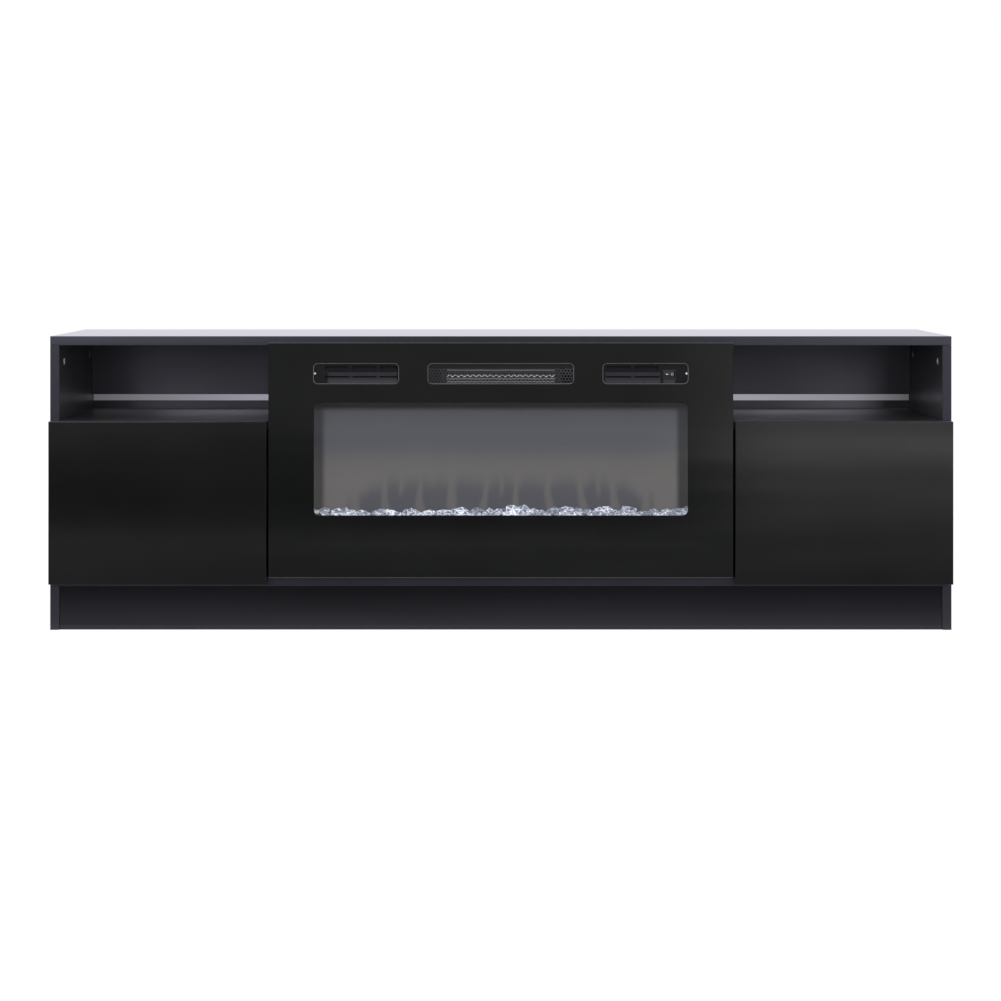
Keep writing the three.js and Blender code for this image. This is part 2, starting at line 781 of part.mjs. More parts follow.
// The outlet mesh: six-sided holes in staggered rows, each row half a pitch from the next
function outletMesh() {
  const z0 = ventBottomZ - mesh.lap;
  const z1 = ventTopZ + mesh.lap;
  const outline = polygon([[-meshHalf, z0], [meshHalf, z0], [meshHalf, z1], [-meshHalf, z1]]);
  const radius = (mesh.pitch - mesh.web) / Math.sqrt(3);
  const rowPitch = (mesh.pitch * Math.sqrt(3)) / 2;
  const rows = Math.floor((z1 - z0 - 2 * (mesh.rim + radius)) / rowPitch) + 1;
  const columns = Math.floor((2 * (meshHalf - mesh.rim) - mesh.pitch) / mesh.pitch);
  const middle = (z0 + z1) / 2;
  for (let row = 0; row < rows; row++) {
    const inRow = columns + 1 - (row % 2);
    for (let i = 0; i < inRow; i++) {
      const x = (i - (inRow - 1) / 2) * mesh.pitch;
      const z = middle + (row - (rows - 1) / 2) * rowPitch;
      const corners = Array.from({ length: 6 }, (_, k) => {
        const angle = ((k + 1 / 2) * Math.PI) / 3;
        return new THREE.Vector2(x + radius * Math.cos(angle), z + radius * Math.sin(angle));
      });
      outline.holes.push(new THREE.Path(corners));
    }
  }
  return piece("outlet_mesh", plateAcross(outline, panSkinY, meshBackY), blackSteel);
}

// A rocker switch with its pressed face tilted to one side, rocking about an upright pin
const rockerPivotY = panFrontY - rocker.bezelThick + rocker.front;

function switchBezel() {
  const x = rockerX;
  const halfX = rocker.bezelWidth / 2;
  const halfZ = rocker.bezelHeight / 2;
  const front = panFrontY - rocker.bezelThick;
  const rim = block([x - halfX, front, rockerZ - halfZ], [x + halfX, panFrontY, rockerZ + halfZ]);
  const bodyX = halfX - rocker.bodyInset;
  const bodyZ = halfZ - rocker.bodyInset;
  const rear = panFrontY + rocker.bodyDepth;
  const bodyFront = front + rocker.bezelThick / 2;
  const body = block([x - bodyX, bodyFront, rockerZ - bodyZ], [x + bodyX, rear, rockerZ + bodyZ]);
  const wellX = rockerReach() + fit;
  const wellZ = halfZ - rocker.rim - rocker.bodyInset / 2;
  const wellBack = rockerPivotY + rocker.backHalf;
  const well = block([x - wellX, front - overrun, rockerZ - wellZ], [x + wellX, wellBack, rockerZ + wellZ]);
  const blades = [-1, 0, 1].map((place) => {
    const bladeX = x + place * rocker.bladePitch;
    const thick = rocker.bladeThick / 2;
    const rise = rocker.bladeWidth / 2;
    const tip = rear + rocker.bladeLength;
    return block([bladeX - thick, rear - overrun, rockerZ - rise], [bladeX + thick, tip, rockerZ + rise]);
  });
  return piece("switch_bezel", cut(joined(rim, body, ...blades), well), blackPlastic);
}

function rockerEnd() {
  return rocker.front + rocker.halfLength * Math.tan(THREE.MathUtils.degToRad(rocker.tilt));
}

// The furthest that a rocker's corner swings from its pin, sideways
function rockerReach() {
  const end = new THREE.Vector2(rocker.halfLength, rockerEnd());
  return end.rotateAround(new THREE.Vector2(), -THREE.MathUtils.degToRad(rocker.tilt)).x;
}

function switchRocker() {
  const end = rockerEnd();
  const profile = polygon([
    [0, -rocker.front],
    [rocker.halfLength, -end],
    [rocker.backHalf, rocker.shoulder],
    [rocker.backHalf / 2, rocker.rear],
    [-rocker.backHalf / 2, rocker.rear],
    [-rocker.backHalf, rocker.shoulder],
    [-rocker.halfLength, -end],
  ]);
  const halfZ = rocker.bezelHeight / 2 - rocker.rim - rocker.bodyInset / 2 - fit;
  const made = piece("switch_rocker", slice(profile, -halfZ, halfZ), blackPlastic);
  made.position.set(rockerX, rockerPivotY, rockerZ);
  made.rotation.z = -THREE.MathUtils.degToRad(rocker.tilt);
  return made;
}

function fireboxBaffle() {
  const plate = block([-housingInner, carcassFrontY, baffleZ], [housingInner, rearWallY, baffleTopZ]);
  return piece("firebox_baffle", plate, blackSteel);
}

// The duct carries the warm air from the blower to the outlet mesh
function heaterDuct() {
  const outer = block([-ductHalf, meshBackY, ductBottomZ], [ductHalf, ductBackY, ceilingZ]);
  const inner = block(
    [-ductHalf + sheet, meshBackY - overrun, ductBottomZ + sheet],
    [ductHalf - sheet, ductBackY + overrun, ceilingZ - sheet],
  );
  const legs = [-1, 1].map((side) => {
    const face = side * ductHalf;
    const inside = face - side * sheet;
    const low = [Math.min(face, inside), carcassFrontY, baffleTopZ];
    return block(low, [Math.max(face, inside), ductBackY, ductBottomZ + sheet]);
  });
  return piece("heater_duct", joined(cut(outer, inner), ...legs), brightSteel);
}

// Zig-zag resistance ribbon in rows between two insulating end plates
function zigzagRow(z) {
  const half = heaterHalf + heater.plateThick / 2;
  const teeth = Math.round((2 * half) / heater.pitch) * 2;
  const step = (2 * half) / teeth;
  const crest = (i) => z + (i % 2 ? 1 : -1) * heater.amplitude;
  const bottom = (i) => crest(i) - heater.ribbonThick / 2;
  const lower = Array.from({ length: teeth + 1 }, (_, i) => [-half + i * step, bottom(i)]);
  const upper = lower.map(([x, low]) => [x, low + heater.ribbonThick]).reverse();
  const front = meshBackY + heater.setBack + (heater.depth - heater.ribbonDepth) / 2;
  return plateAcross(polygon([...lower, ...upper]), front, front + heater.ribbonDepth);
}

function heaterElement() {
  const y0 = meshBackY + heater.setBack;
  const z0 = ductBottomZ + sheet + fit;
  const z1 = ceilingZ - sheet - fit;
  const plates = [-1, 1].map((side) => {
    const near = side * heaterHalf;
    const far = near + side * heater.plateThick;
    return block([Math.min(near, far), y0, z0], [Math.max(near, far), y0 + heater.depth, z1]);
  });
  const rows = Array.from({ length: heater.rows }, (_, i) =>
    zigzagRow((z0 + z1) / 2 + (i - (heater.rows - 1) / 2) * heater.rowPitch),
  );
  return piece("heater_element", joined(...plates, ...rows), brightSteel);
}

// The cross-flow blower: a bladed rotor in a scroll between two end plates, with its motor on one
const scrollRadius = blower.rotorRadius + blower.scrollGap;
const blowerY = ductBackY + fit + scrollRadius + sheet;
const blowerZ = ceilingZ - sheet - scrollRadius - fit;
const plateX = blowerHalf + blower.endGap;

function blowerScroll() {
  const wrap = new THREE.Shape();
  const start = -THREE.MathUtils.degToRad(blower.wrapStart);
  const end = Math.PI / 2;
  wrap.absarc(blowerY, blowerZ, scrollRadius, start, end);
  wrap.lineTo(ductBackY + fit, blowerZ + scrollRadius);
  wrap.lineTo(ductBackY + fit, blowerZ + scrollRadius + sheet);
  wrap.absarc(blowerY, blowerZ, scrollRadius + sheet, end, start, true);
  wrap.closePath();
  const hood = profileAlong(wrap, -plateX - blower.plateThick / 2, plateX + blower.plateThick / 2);
  const ends = [-1, 1].map((side) => {
    const near = side * plateX;
    const far = near + side * blower.plateThick;
    const y0 = ductBackY + fit;
    const y1 = y0 + blower.plateDepth;
    return block([Math.min(near, far), y0, baffleTopZ], [Math.max(near, far), y1, ceilingZ]);
  });
  const reach = plateX + blower.plateThick + overrun;
  const bore = barAcross(blower.shaftRadius + fit, -reach, reach).translate(0, blowerY, blowerZ);
  return piece("blower_scroll", cut(joined(hood, ...ends), bore), brightSteel);
}

// Forward-curved blades between two discs on one shaft
const bladeCurlShares = [0, 0.33, 1];

function blowerRotor() {
  const inner = blower.rotorRadius - blower.bladeDepth;
  const blade = new THREE.Shape();
  const curl = Math.PI / blower.blades;
  const at = (radius, angle) => [radius * Math.cos(angle), radius * Math.sin(angle)];
  const mid = (inner + blower.rotorRadius) / 2;
  const radii = [inner, mid, blower.rotorRadius];
  const thick = blower.bladeThick / mid;
  const edge = radii.map((radius, i) => at(radius, curl * bladeCurlShares[i]));
  const far = radii.map((radius, i) => at(radius, curl * bladeCurlShares[i] + thick)).reverse();
  blade.setFromPoints([...edge, ...far].map(([x, y]) => new THREE.Vector2(x, y)));
  const blades = Array.from({ length: blower.blades }, (_, i) =>
    profileAlong(blade, -blowerHalf, blowerHalf).rotateX((i * 2 * Math.PI) / blower.blades),
  );
  const discs = [-1, 1].map((place) => {
    const x = place * (blowerHalf - blower.discThick / 2);
    return barAcross(blower.rotorRadius, x - blower.discThick / 2, x + blower.discThick / 2);
  });
  const shaft = barAcross(
    blower.shaftRadius,
    -plateX - blower.plateThick,
    plateX + blower.plateThick + blower.shaftIntoMotor,
  );
  const made = piece("blower_rotor", joined(shaft, ...discs, ...blades), brightSteel);
  made.position.set(0, blowerY, blowerZ);
  return made;
}

function motorWithBore(radius, length, boreRadius, boreDepth, nose) {
  const can = turned([
    [0, 0],
    [radius - nose, 0],
    [radius, nose],
    [radius, length - nose],
    [radius - nose, length],
    [0, length],
  ]);
  return cut(can, turned(rodProfile(boreRadius, -overrun, boreDepth)));
}

function blowerMotor() {
  const motor = motorWithBore(
    blower.motorRadius,
    blower.motorLength,
    blower.shaftRadius + fit,
    blower.shaftIntoMotor + fit,
    blower.discThick,
  );
  motor.rotateZ(-Math.PI / 2);
  motor.translate(plateX + blower.plateThick + fit, blowerY, blowerZ);
  return piece("blower_motor", motor, blackSteel);
}

// The tray: a folded sheet with a front lip, a floor and a rear leg down to the housing's floor
function crystalTray() {
  const front = carcassFrontY + tray.frontGap;
  const rear = screenBackY + tray.rearLap;
  const profile = polygon([
    [front, trayZ],
    [rear - sheet, trayZ],
    [rear - sheet, floorZ],
    [rear, floorZ],
    [rear, trayTopZ],
    [front + sheet, trayTopZ],
    [front + sheet, trayZ + tray.lip],
    [front, trayZ + tray.lip],
  ]);
  return piece("crystal_tray", profileAlong(profile, -housingInner, housingInner), blackSteel);
}

// A repeatable spread between -1 and 1 for the stones' places, turns and sizes
function spread(i, k) {
  const wave = Math.sin((i + 1) * spreadSeeds.step + k * spreadSeeds.turn) * spreadSeeds.size;
  return 2 * (wave - Math.floor(wave)) - 1;
}

function crystalBed() {
  const front = carcassFrontY + tray.frontGap + sheet + bed.gap;
  const rear = screenFrontY - bed.gap;
  const top = trayTopZ + bed.thick;
  const half = housingInner - bed.gap;
  const slab = block([-half, front, trayTopZ], [half, rear, top]);
  const count = Math.floor((2 * (half - bed.stoneRadius)) / bed.stonePitch);
  const stones = Array.from({ length: count }, (_, i) => {
    const radius = bed.stoneRadius * (1 + spread(i, 0) * bed.sizeShare);
    const stone = new THREE.IcosahedronGeometry(radius, 0);
    stone.rotateX(spread(i, 1) * Math.PI).rotateY(spread(i, 2) * Math.PI);
    const x = (i - (count - 1) / 2) * bed.stonePitch + (spread(i, 3) * bed.stoneSpread) / 2;
    const row = i % 2 ? front + bed.rowInset : rear - bed.rowInset;
    return stone.translate(x, row, top);
  });
  return piece("crystal_bed", joined(slab, ...stones), crystal);
}

function flameScreen() {
  const plate = block([-housingInner, screenFrontY, trayTopZ], [housingInner, screenBackY, baffleZ]);
  return piece("flame_screen", plate, frosted);
}

// A sheet with flame-shaped openings, each leaning to one side
function flameCutout() {
  const y = carcassFrontY + cutout.setBack;
  const base = trayZ - cutout.baseDrop;
  const sheetTop = base + cutout.rise;
  const outline = polygon([
    [-housingInner, floorZ],
    [housingInner, floorZ],
    [housingInner, sheetTop],
    [-housingInner, sheetTop],
  ]);
  const pitch = (2 * housingInner) / (cutout.flames + 1);
  for (let i = 0; i < cutout.flames; i++) {
    const x = -housingInner + pitch * (i + 1);
    const half = cutout.flameWidth / 2;
    const tip = base + cutout.flameHeight * (1 + spread(i, 5) * cutout.heightShare);
    const tipX = x + cutout.lean * spread(i, 6);
    const waist = (base + tip) / 2;
    const flame = new THREE.Path();
    flame.moveTo(x - half / 2, base);
    flame.quadraticCurveTo(x + half, base, x + half, (base + waist) / 2);
    flame.quadraticCurveTo(x + half, waist, tipX, tip);
    flame.quadraticCurveTo(x, waist, x - half, (base + waist) / 2);
    flame.quadraticCurveTo(x - half, base, x - half / 2, base);
    outline.holes.push(flame);
  }
  return piece("flame_cutout", plateAcross(outline, y, y + sheet), brightSteel);
}

const rodStart = -housingInner + sheet;
const petalEnd = housingInner - flameMotor.length - flameRotor.endGap;

// A rod with rows of bent reflector petals that pass the light in turn
function flameRotorPiece() {
  const rodEnd = housingInner - flameMotor.length + flameMotor.shaftIn;
  const rod = barAcross(flameRotor.rodRadius, rodStart, rodEnd, roundSteps / 2);
  const span = 2 * petalEnd - flameRotor.petalWidth;
  const hub = barAcross(flameRotor.hubRadius, -petalEnd, petalEnd, roundSteps / 2);
  const petals = [];
  for (let row = 0; row < flameRotor.petalRows; row++) {
    for (let i = 0; i < flameRotor.petals; i++) {
      const turn = ((row + (i % 2) / 2) * 2 * Math.PI) / flameRotor.petalRows;
      const x = -petalEnd + flameRotor.petalWidth / 2 + (span * i) / (flameRotor.petals - 1);
      const half = flameRotor.petalWidth / 2;
      const tip = flameRotor.hubRadius / 2 + flameRotor.petalLength;
      const outline = polygon([
        [x - half / 2, 0],
        [x + half / 2, 0],
        [x + half, tip],
        [x - half / 2, tip],
      ]);
      const petal = plateAcross(outline, -flameRotor.petalThick / 2, flameRotor.petalThick / 2);
      petals.push(petal.rotateX(turn));
    }
  }
  const made = piece("flame_rotor", joined(rod, hub, ...petals), brightSteel);
  made.position.set(0, flameAxisY, flameAxisZ);
  return made;
}

function flameMotorPiece() {
  const motor = motorWithBore(
    flameMotor.radius,
    flameMotor.length - fit,
    flameRotor.rodRadius + fit,
    flameMotor.shaftIn + fit,
    sheet,
  );
  motor.rotateZ(-Math.PI / 2);
  motor.translate(housingInner - flameMotor.length, flameAxisY, flameAxisZ);
  return piece("flame_motor", motor, blackSteel);
}

function ledStrip() {
  const y0 = carcassFrontY + leds.setBack;
  const top = floorZ + leds.boardThick;
  const base = block([-petalEnd, y0, floorZ], [petalEnd, y0 + leds.boardWidth, top]);
  const step = (2 * petalEnd) / leds.count;
  const lights = Array.from({ length: leds.count }, (_, i) => {
    const x = -petalEnd + step * (i + 1 / 2);
    const half = leds.size / 2;
    const middle = y0 + leds.boardWidth / 2;
    return block([x - half, middle - half, floorZ], [x + half, middle + half, top + leds.rise]);
  });
  return piece("led_strip", joined(base, ...lights), frosted);
}

// The control board stands on four posts on the baffle, with a transformer, a relay and a capacitor
function controlBoard() {
  const x0 = housingInner - board.sideGap - board.width;
  const y0 = carcassFrontY + board.setBack - board.depth / 2;
  const x1 = x0 + board.width;
  const y1 = y0 + board.depth;
  const z0 = baffleTopZ + board.standoff;
  const z1 = z0 + board.thick;
  const card = block([x0, y0, z0], [x1, y1, z1]);
  const inset = board.postRadius * 2;
  const posts = [
    [x0 + inset, y0 + inset],
    [x1 - inset, y0 + inset],
    [x0 + inset, y1 - inset],
    [x1 - inset, y1 - inset],
  ].map(([x, y]) => {
    const r = board.postRadius;
    return block([x - r, y - r, baffleTopZ], [x + r, y + r, z0 + board.thick / 2]);
  });
  const quarter = board.width / 4;
  const near = y0 + inset * 2;
  const core = block([x0 + inset, near, z0], [x0 + inset + quarter, y1 - inset * 2, z1 + quarter]);
  const relay = block([x0 + quarter * 2, near, z0], [x0 + quarter * 3, near + quarter / 2, z1 + quarter / 2]);
  const can = turned(rodProfile(quarter / 4, z0, z1 + quarter)).rotateX(Math.PI / 2);
  can.translate(x1 - quarter / 2, y1 - quarter / 2, 0);
  return piece("control_board", joined(card, ...posts, core, relay, can), blackPlastic);
}

// A bush for the mains lead in the housing's rear wall
function cordGland() {
  const bush = turned([
    [gland.boreRadius, rearWallY - gland.inside],
    [gland.radius, rearWallY - gland.inside],
    [gland.radius, housingBackY + fit],
    [gland.flangeRadius, housingBackY + fit],
    [gland.flangeRadius, housingBackY + fit + gland.flangeThick],
    [gland.boreRadius, housingBackY + fit + gland.flangeThick],
    [gland.boreRadius, rearWallY - gland.inside],
  ]);
  return piece("cord_gland", bush.translate(glandX, 0, glandZ), blackPlastic);
}

const carcass = new THREE.Group();
carcass.add(topPanel(), bottomPanel(), ...plinths(), rearRail());
carcass.add(standEnd("left", -1), standEnd("right", 1));

const insert = new THREE.Group();
insert.add(insertHousing(), frontPan(), frontGlass(), glassBorder(), ...louvreScrews(), outletMesh());
insert.add(switchBezel(), switchRocker());
insert.add(fireboxBaffle(), heaterDuct(), heaterElement(), blowerScroll(), blowerRotor(), blowerMotor());
insert.add(crystalTray(), crystalBed(), flameScreen(), flameCutout(), flameRotorPiece(), flameMotorPiece());
insert.add(ledStrip(), controlBoard(), cordGland());

const stand = new THREE.Group();
stand.add(carcass, insert);

export default stand;
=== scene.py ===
import json
import math
import random

import bmesh
import bpy
from mathutils import Matrix, Vector

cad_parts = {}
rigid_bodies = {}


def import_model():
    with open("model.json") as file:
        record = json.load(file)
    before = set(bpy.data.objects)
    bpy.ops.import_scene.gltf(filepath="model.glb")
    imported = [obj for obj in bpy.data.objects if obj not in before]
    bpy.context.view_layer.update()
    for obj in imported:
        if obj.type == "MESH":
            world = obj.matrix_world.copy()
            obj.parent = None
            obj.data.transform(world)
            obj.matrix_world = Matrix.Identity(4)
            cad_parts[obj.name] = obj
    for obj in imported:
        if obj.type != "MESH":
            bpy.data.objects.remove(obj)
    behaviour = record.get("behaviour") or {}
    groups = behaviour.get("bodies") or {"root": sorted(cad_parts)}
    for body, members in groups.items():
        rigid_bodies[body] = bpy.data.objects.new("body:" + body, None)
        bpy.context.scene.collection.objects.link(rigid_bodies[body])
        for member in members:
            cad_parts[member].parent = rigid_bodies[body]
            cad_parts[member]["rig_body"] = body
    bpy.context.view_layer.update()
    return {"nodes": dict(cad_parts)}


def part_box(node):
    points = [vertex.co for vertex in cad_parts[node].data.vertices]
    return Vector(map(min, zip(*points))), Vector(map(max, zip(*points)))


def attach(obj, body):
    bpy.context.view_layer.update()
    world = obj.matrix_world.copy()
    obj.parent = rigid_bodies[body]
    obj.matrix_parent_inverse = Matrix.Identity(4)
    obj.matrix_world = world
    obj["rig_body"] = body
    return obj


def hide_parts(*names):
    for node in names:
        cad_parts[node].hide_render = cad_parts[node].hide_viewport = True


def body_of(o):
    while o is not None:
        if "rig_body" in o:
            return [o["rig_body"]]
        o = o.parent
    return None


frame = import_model()
nodes = frame["nodes"]
sides = (("left_", -1), ("right_", 1))

# helpers for materials; a value is a number, a colour of three numbers or a socket


def plug(socket, value):
    if isinstance(value, bpy.types.NodeSocket):
        socket.id_data.links.new(value, socket)
    elif socket.type == "RGBA":
        socket.default_value = (*value, 1.0)
    else:
        socket.default_value = value


def fill(node, values):
    for name, value in values.items():
        plug(node.inputs[name], value)


def newNode(kind, values):
    # a filled node in the tree of whichever value is a socket
    tree = next(value.id_data for value in values.values() if isinstance(value, bpy.types.NodeSocket))
    node = tree.nodes.new("ShaderNode" + kind)
    fill(node, values)
    return node


def startFinish(name):
    material = bpy.data.materials.new(name)
    material.use_nodes = True
    tree = material.node_tree
    return material, tree.nodes["Principled BSDF"], tree.nodes.new("ShaderNodeTexCoord").outputs["Object"]


def axesOf(place):
    return newNode("SeparateXYZ", {"Vector": place}).outputs


def noiseAt(place, scale, detail, stretch=(1.0, 1.0, 1.0)):
    spot = newNode("Mapping", {"Vector": place, "Scale": stretch}).outputs["Vector"]
    return newNode("TexNoise", {"Vector": spot, "Scale": scale, "Detail": detail}).outputs["Fac"]


def rampOf(source, stops):
    ramp = newNode("ValToRGB", {"Fac": source})
    marks = ramp.color_ramp.elements
    while len(marks) < len(stops):
        marks.new(0.5)
    for mark, (position, colour) in zip(marks, stops):
        mark.position = position
        mark.color = (*colour, 1.0) if isinstance(colour, tuple) else (colour, colour, colour, 1.0)
    return ramp.outputs["Color"]


def mapped(value, low, high, toLow=0.0, toHigh=1.0, smooth=True):
    node = newNode("MapRange", {"Value": value, "From Min": low, "From Max": high, "To Min": toLow,
                                "To Max": toHigh})
    node.interpolation_type = "SMOOTHSTEP" if smooth else "LINEAR"
    return node.outputs["Result"]


def reckon(operation, *values):
    node = newNode("Math", dict(enumerate(values)))
    node.operation = operation
    return node.outputs["Value"]


def plus(first, second):
    return reckon("ADD", first, second)


def minus(first, second):
    return reckon("SUBTRACT", first, second)


def times(first, *others):
    for other in others:
        first = reckon("MULTIPLY", first, other)
    return first


def larger(first, second):
    return reckon("MAXIMUM", first, second)


def sizeOf(value):
    return reckon("ABSOLUTE", value)


def blended(factor, first, second, kind="MIX"):
    # the colour sockets of a Mix node are its seventh and eighth
    node = newNode("Mix", {0: factor, 6: first, 7: second})
    node.data_type = "RGBA"
    node.blend_type = kind
    return node.outputs[2]


def shaderOf(tree, kind, values):
    node = tree.nodes.new("ShaderNode" + kind)
    fill(node, values)
    return node.outputs[0]


def mixShaders(factor, first, second):
    return newNode("MixShader", {0: factor, 1: first, 2: second}).outputs["Shader"]


def bumpFrom(shader, height, strength, distance):
    bump = newNode("Bump", {"Height": height, "Strength": strength, "Distance": distance})
    fill(shader, {"Normal": bump.outputs["Normal"]})


# helpers for shapes


def meshOf(name, bm):
    mesh = bpy.data.meshes.new(name)
    bm.to_mesh(mesh)
    bm.free()
    return mesh


def linked(name, data):
    thing = bpy.data.objects.new(name, data)
    bpy.context.scene.collection.objects.link(thing)
    return thing


def boxInto(bm, low, high):
    low, high = Vector(low), Vector(high)
    size = Matrix.Diagonal((*(high - low), 1.0))
    return bmesh.ops.create_cube(bm, size=1.0, matrix=Matrix.Translation((low + high) / 2) @ size)["verts"]


def bevelled(bm, edges, width, segments=2, clamp=True):
    bmesh.ops.bevel(bm, geom=list(edges), offset=width, offset_type="OFFSET", segments=segments,
                    profile=0.5, affect="EDGES", clamp_overlap=clamp, material=-1)


def sharpEdges(bm, angle=50.0):
    limit = math.radians(angle)
    return [edge for edge in bm.edges if edge.is_manifold and edge.calc_face_angle(0.0) > limit]


def boxEdges(bm):
    # edges that lie on two faces of the piece's own box
    planes = [(axis, end(v.co[axis] for v in bm.verts)) for axis in range(3) for end in (min, max)]
    near = 0.00002
    return [edge for edge in bm.edges if edge.is_manifold and 2 <= sum(
        all(abs(v.co[axis] - level) < near for v in edge.verts) for axis, level in planes)]


def fromNode(node):
    bm = bmesh.new()
    bm.from_mesh(nodes[node].data)
    bmesh.ops.remove_doubles(bm, verts=bm.verts, dist=0.00001)
    bmesh.ops.dissolve_limit(bm, angle_limit=math.radians(1.0), use_dissolve_boundaries=False,
                             verts=bm.verts, edges=bm.edges, delimit={"NORMAL"})
    return bm


def roundedPlate(low, high, radius, steps=10):
    # a block whose four edges along the depth are rounded
    bm = bmesh.new()
    boxInto(bm, low, high)
    corners = [e for e in bm.edges if abs((e.verts[0].co - e.verts[1].co).normalized().y) > 0.9]
    bevelled(bm, corners, radius, steps)
    return bm


def carved(bm, cutters):
    # takes every cutter's shape out of the first one
    body = linked("carving", meshOf("carving", bm))
    tools = [linked("cutter", meshOf("cutter", cutter)) for cutter in cutters]
    for tool in tools:
        cut = body.modifiers.new("cut", "BOOLEAN")
        cut.object = tool
        cut.operation = "DIFFERENCE"
        cut.solver = "EXACT"
    bpy.context.view_layer.update()
    seen = body.evaluated_get(bpy.context.evaluated_depsgraph_get())
    result = bmesh.new()
    result.from_mesh(seen.data)
    bmesh.ops.remove_doubles(result, verts=result.verts, dist=0.00001)
    for thing in [body, *tools]:
        mesh = thing.data
        bpy.data.objects.remove(thing)
        bpy.data.meshes.remove(mesh)
    return result


def addPiece(name, bm, finish, body="root", replaces=(), smooth=35.0, extra=(), weighted=False):
    mesh = meshOf(name, bm)
    piece = linked(name, mesh)
    for one in (finish, *extra):
        mesh.materials.append(one["material"])
    if smooth:
        mesh.shade_smooth()
        mesh.set_sharp_from_angle(angle=math.radians(smooth))
    if weighted:
        even = piece.modifiers.new("even shading", "WEIGHTED_NORMAL")
        even.keep_sharp = True
    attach(piece, body)
    if replaces:
        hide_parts(*replaces)
    return piece


def nodeBody(node):
    return body_of(nodes[node])[0]


def easedNode(node, name, finish, width, angle=60.0):
    # a node's own shape with its sharp edges eased
    bm = fromNode(node)
    bevelled(bm, sharpEdges(bm, angle), width)
    addPiece(name, bm, finish, nodeBody(node), (node,))


def thicken(piece, thickness):
    wall = piece.modifiers.new("thickness", "SOLIDIFY")
    wall.thickness = thickness
    wall.offset = 0.0


# finishes

print("finishes")

boardLook = {"gloss": 0.42, "tint": (0.84, 0.84, 1.0), "drift": 0.10, "hazeDrift": 0.06,
             "cloud": (4.0, 2.0), "hazeCloud": (9.0, 2.0)}
# each laminate's and edge band's tone, haze, gloss and slot; some are lit or shaded copies that paint light
# and shade
boardTones = {
    "black_edge_band": ((0.0112, 0.0112, 0.0148), 0.30, 0.85),
    "dull_edge_band": ((0.0158, 0.0158, 0.0205), 0.30, 0.50),
    # painted highlight: a far lighter band for the door's rounded top edge
    "door_top_painted_highlight": ((0.0850, 0.0850, 0.0930), 0.30, boardLook["gloss"], "gloss_door"),
    "satin_black_laminate": ((0.0335, 0.0335, 0.0360), 0.34),
    # painted light: a lighter, glossier copy of the satin laminate for the shelves' upper faces
    "shelf_top_painted_light": ((0.0500, 0.0500, 0.0520), 0.30, 0.95),
    "gloss_black_laminate": ((0.0150, 0.0150, 0.0200), 0.065),
    # painted shade: the plinth's laminate is painted darker for the shadow under the overhang
    "gloss_plinth_laminate_painted_shade": ((0.0044, 0.0044, 0.0052), 0.09, 0.5),
}
# each back's tone, where its painted shade changes over the height, and how much of the tone shows
# across |x|, far from the slit and near it: painted shade towards the outer ends, painted glow near the slit
backHaze = 0.34
backPaintedShade = {
    "left_lower_back": {
        "tone": (0.0700, 0.0700, 0.0765), "rise": (0.400, 0.408), "far": [(0.0, 0.62), (1.0, 0.62)],
        "near": [(0.46, 0.85), (0.60, 0.91), (0.735, 1.0), (0.77, 0.76), (0.80, 0.36), (0.87, 0.33)]},
    "right_lower_back": {
        "tone": (0.2000, 0.2000, 0.2150), "rise": (0.400, 0.408), "far": [(0.0, 0.22), (1.0, 0.22)],
        "near": [(0.46, 0.42), (0.585, 0.47), (0.62, 0.62), (0.69, 0.81), (0.725, 0.98), (0.76, 1.0),
                 (0.79, 0.60), (0.822, 0.10), (0.87, 0.15)]},
    "left_upper_back": {
        "tone": (0.1000, 0.1000, 0.1100), "rise": (0.505, 0.451),
        "far": [(0.46, 0.40), (0.765, 0.40), (0.80, 0.28), (0.87, 0.35)],
        "near": [(0.46, 0.53), (0.60, 0.63), (0.70, 0.71), (0.76, 0.64), (0.80, 0.28), (0.87, 0.35)]},
    "right_upper_back": {
        "tone": (0.1000, 0.1000, 0.1100), "rise": (0.535, 0.451),
        "far": [(0.46, 0.36), (0.79, 0.36), (0.83, 0.26), (0.87, 0.37)],
        "near": [(0.46, 0.56), (0.62, 0.69), (0.725, 0.94), (0.77, 0.91), (0.80, 0.63), (0.83, 0.26),
                 (0.87, 0.37)]},
}


def boardFinish(name, tone, haze, gloss=boardLook["gloss"], slot="gloss_board", shade=None):
    material, shader, place = startFinish(name)
    dark, light = (tuple(part * (1.0 + sign * boardLook["drift"]) for part in tone) for sign in (-1, 1))
    colour = rampOf(noiseAt(place, *boardLook["cloud"]), [(0.3, dark), (0.7, light)])
    # painted shade and painted glow: the tone darkens towards the outer ends and brightens near the slit
    if shade:
        axes = axesOf(place)
        aside = sizeOf(axes["X"])
        far, near = (rampOf(aside, shade[part]) for part in ("far", "near"))
        rise = mapped(axes["Z"], *shade["rise"], smooth=False)
        colour = blended(1.0, colour, blended(rise, far, near), "MULTIPLY")
    low, high = haze * (1.0 - boardLook["hazeDrift"]), haze * (1.0 + boardLook["hazeDrift"])
    fill(shader, {"Base Color": colour, "Specular IOR Level": gloss, "Specular Tint": boardLook["tint"],
                  "Roughness": mapped(noiseAt(place, *boardLook["hazeCloud"]), 0.3, 0.7, low, high)})
    return {"material": material, "slot": slot}


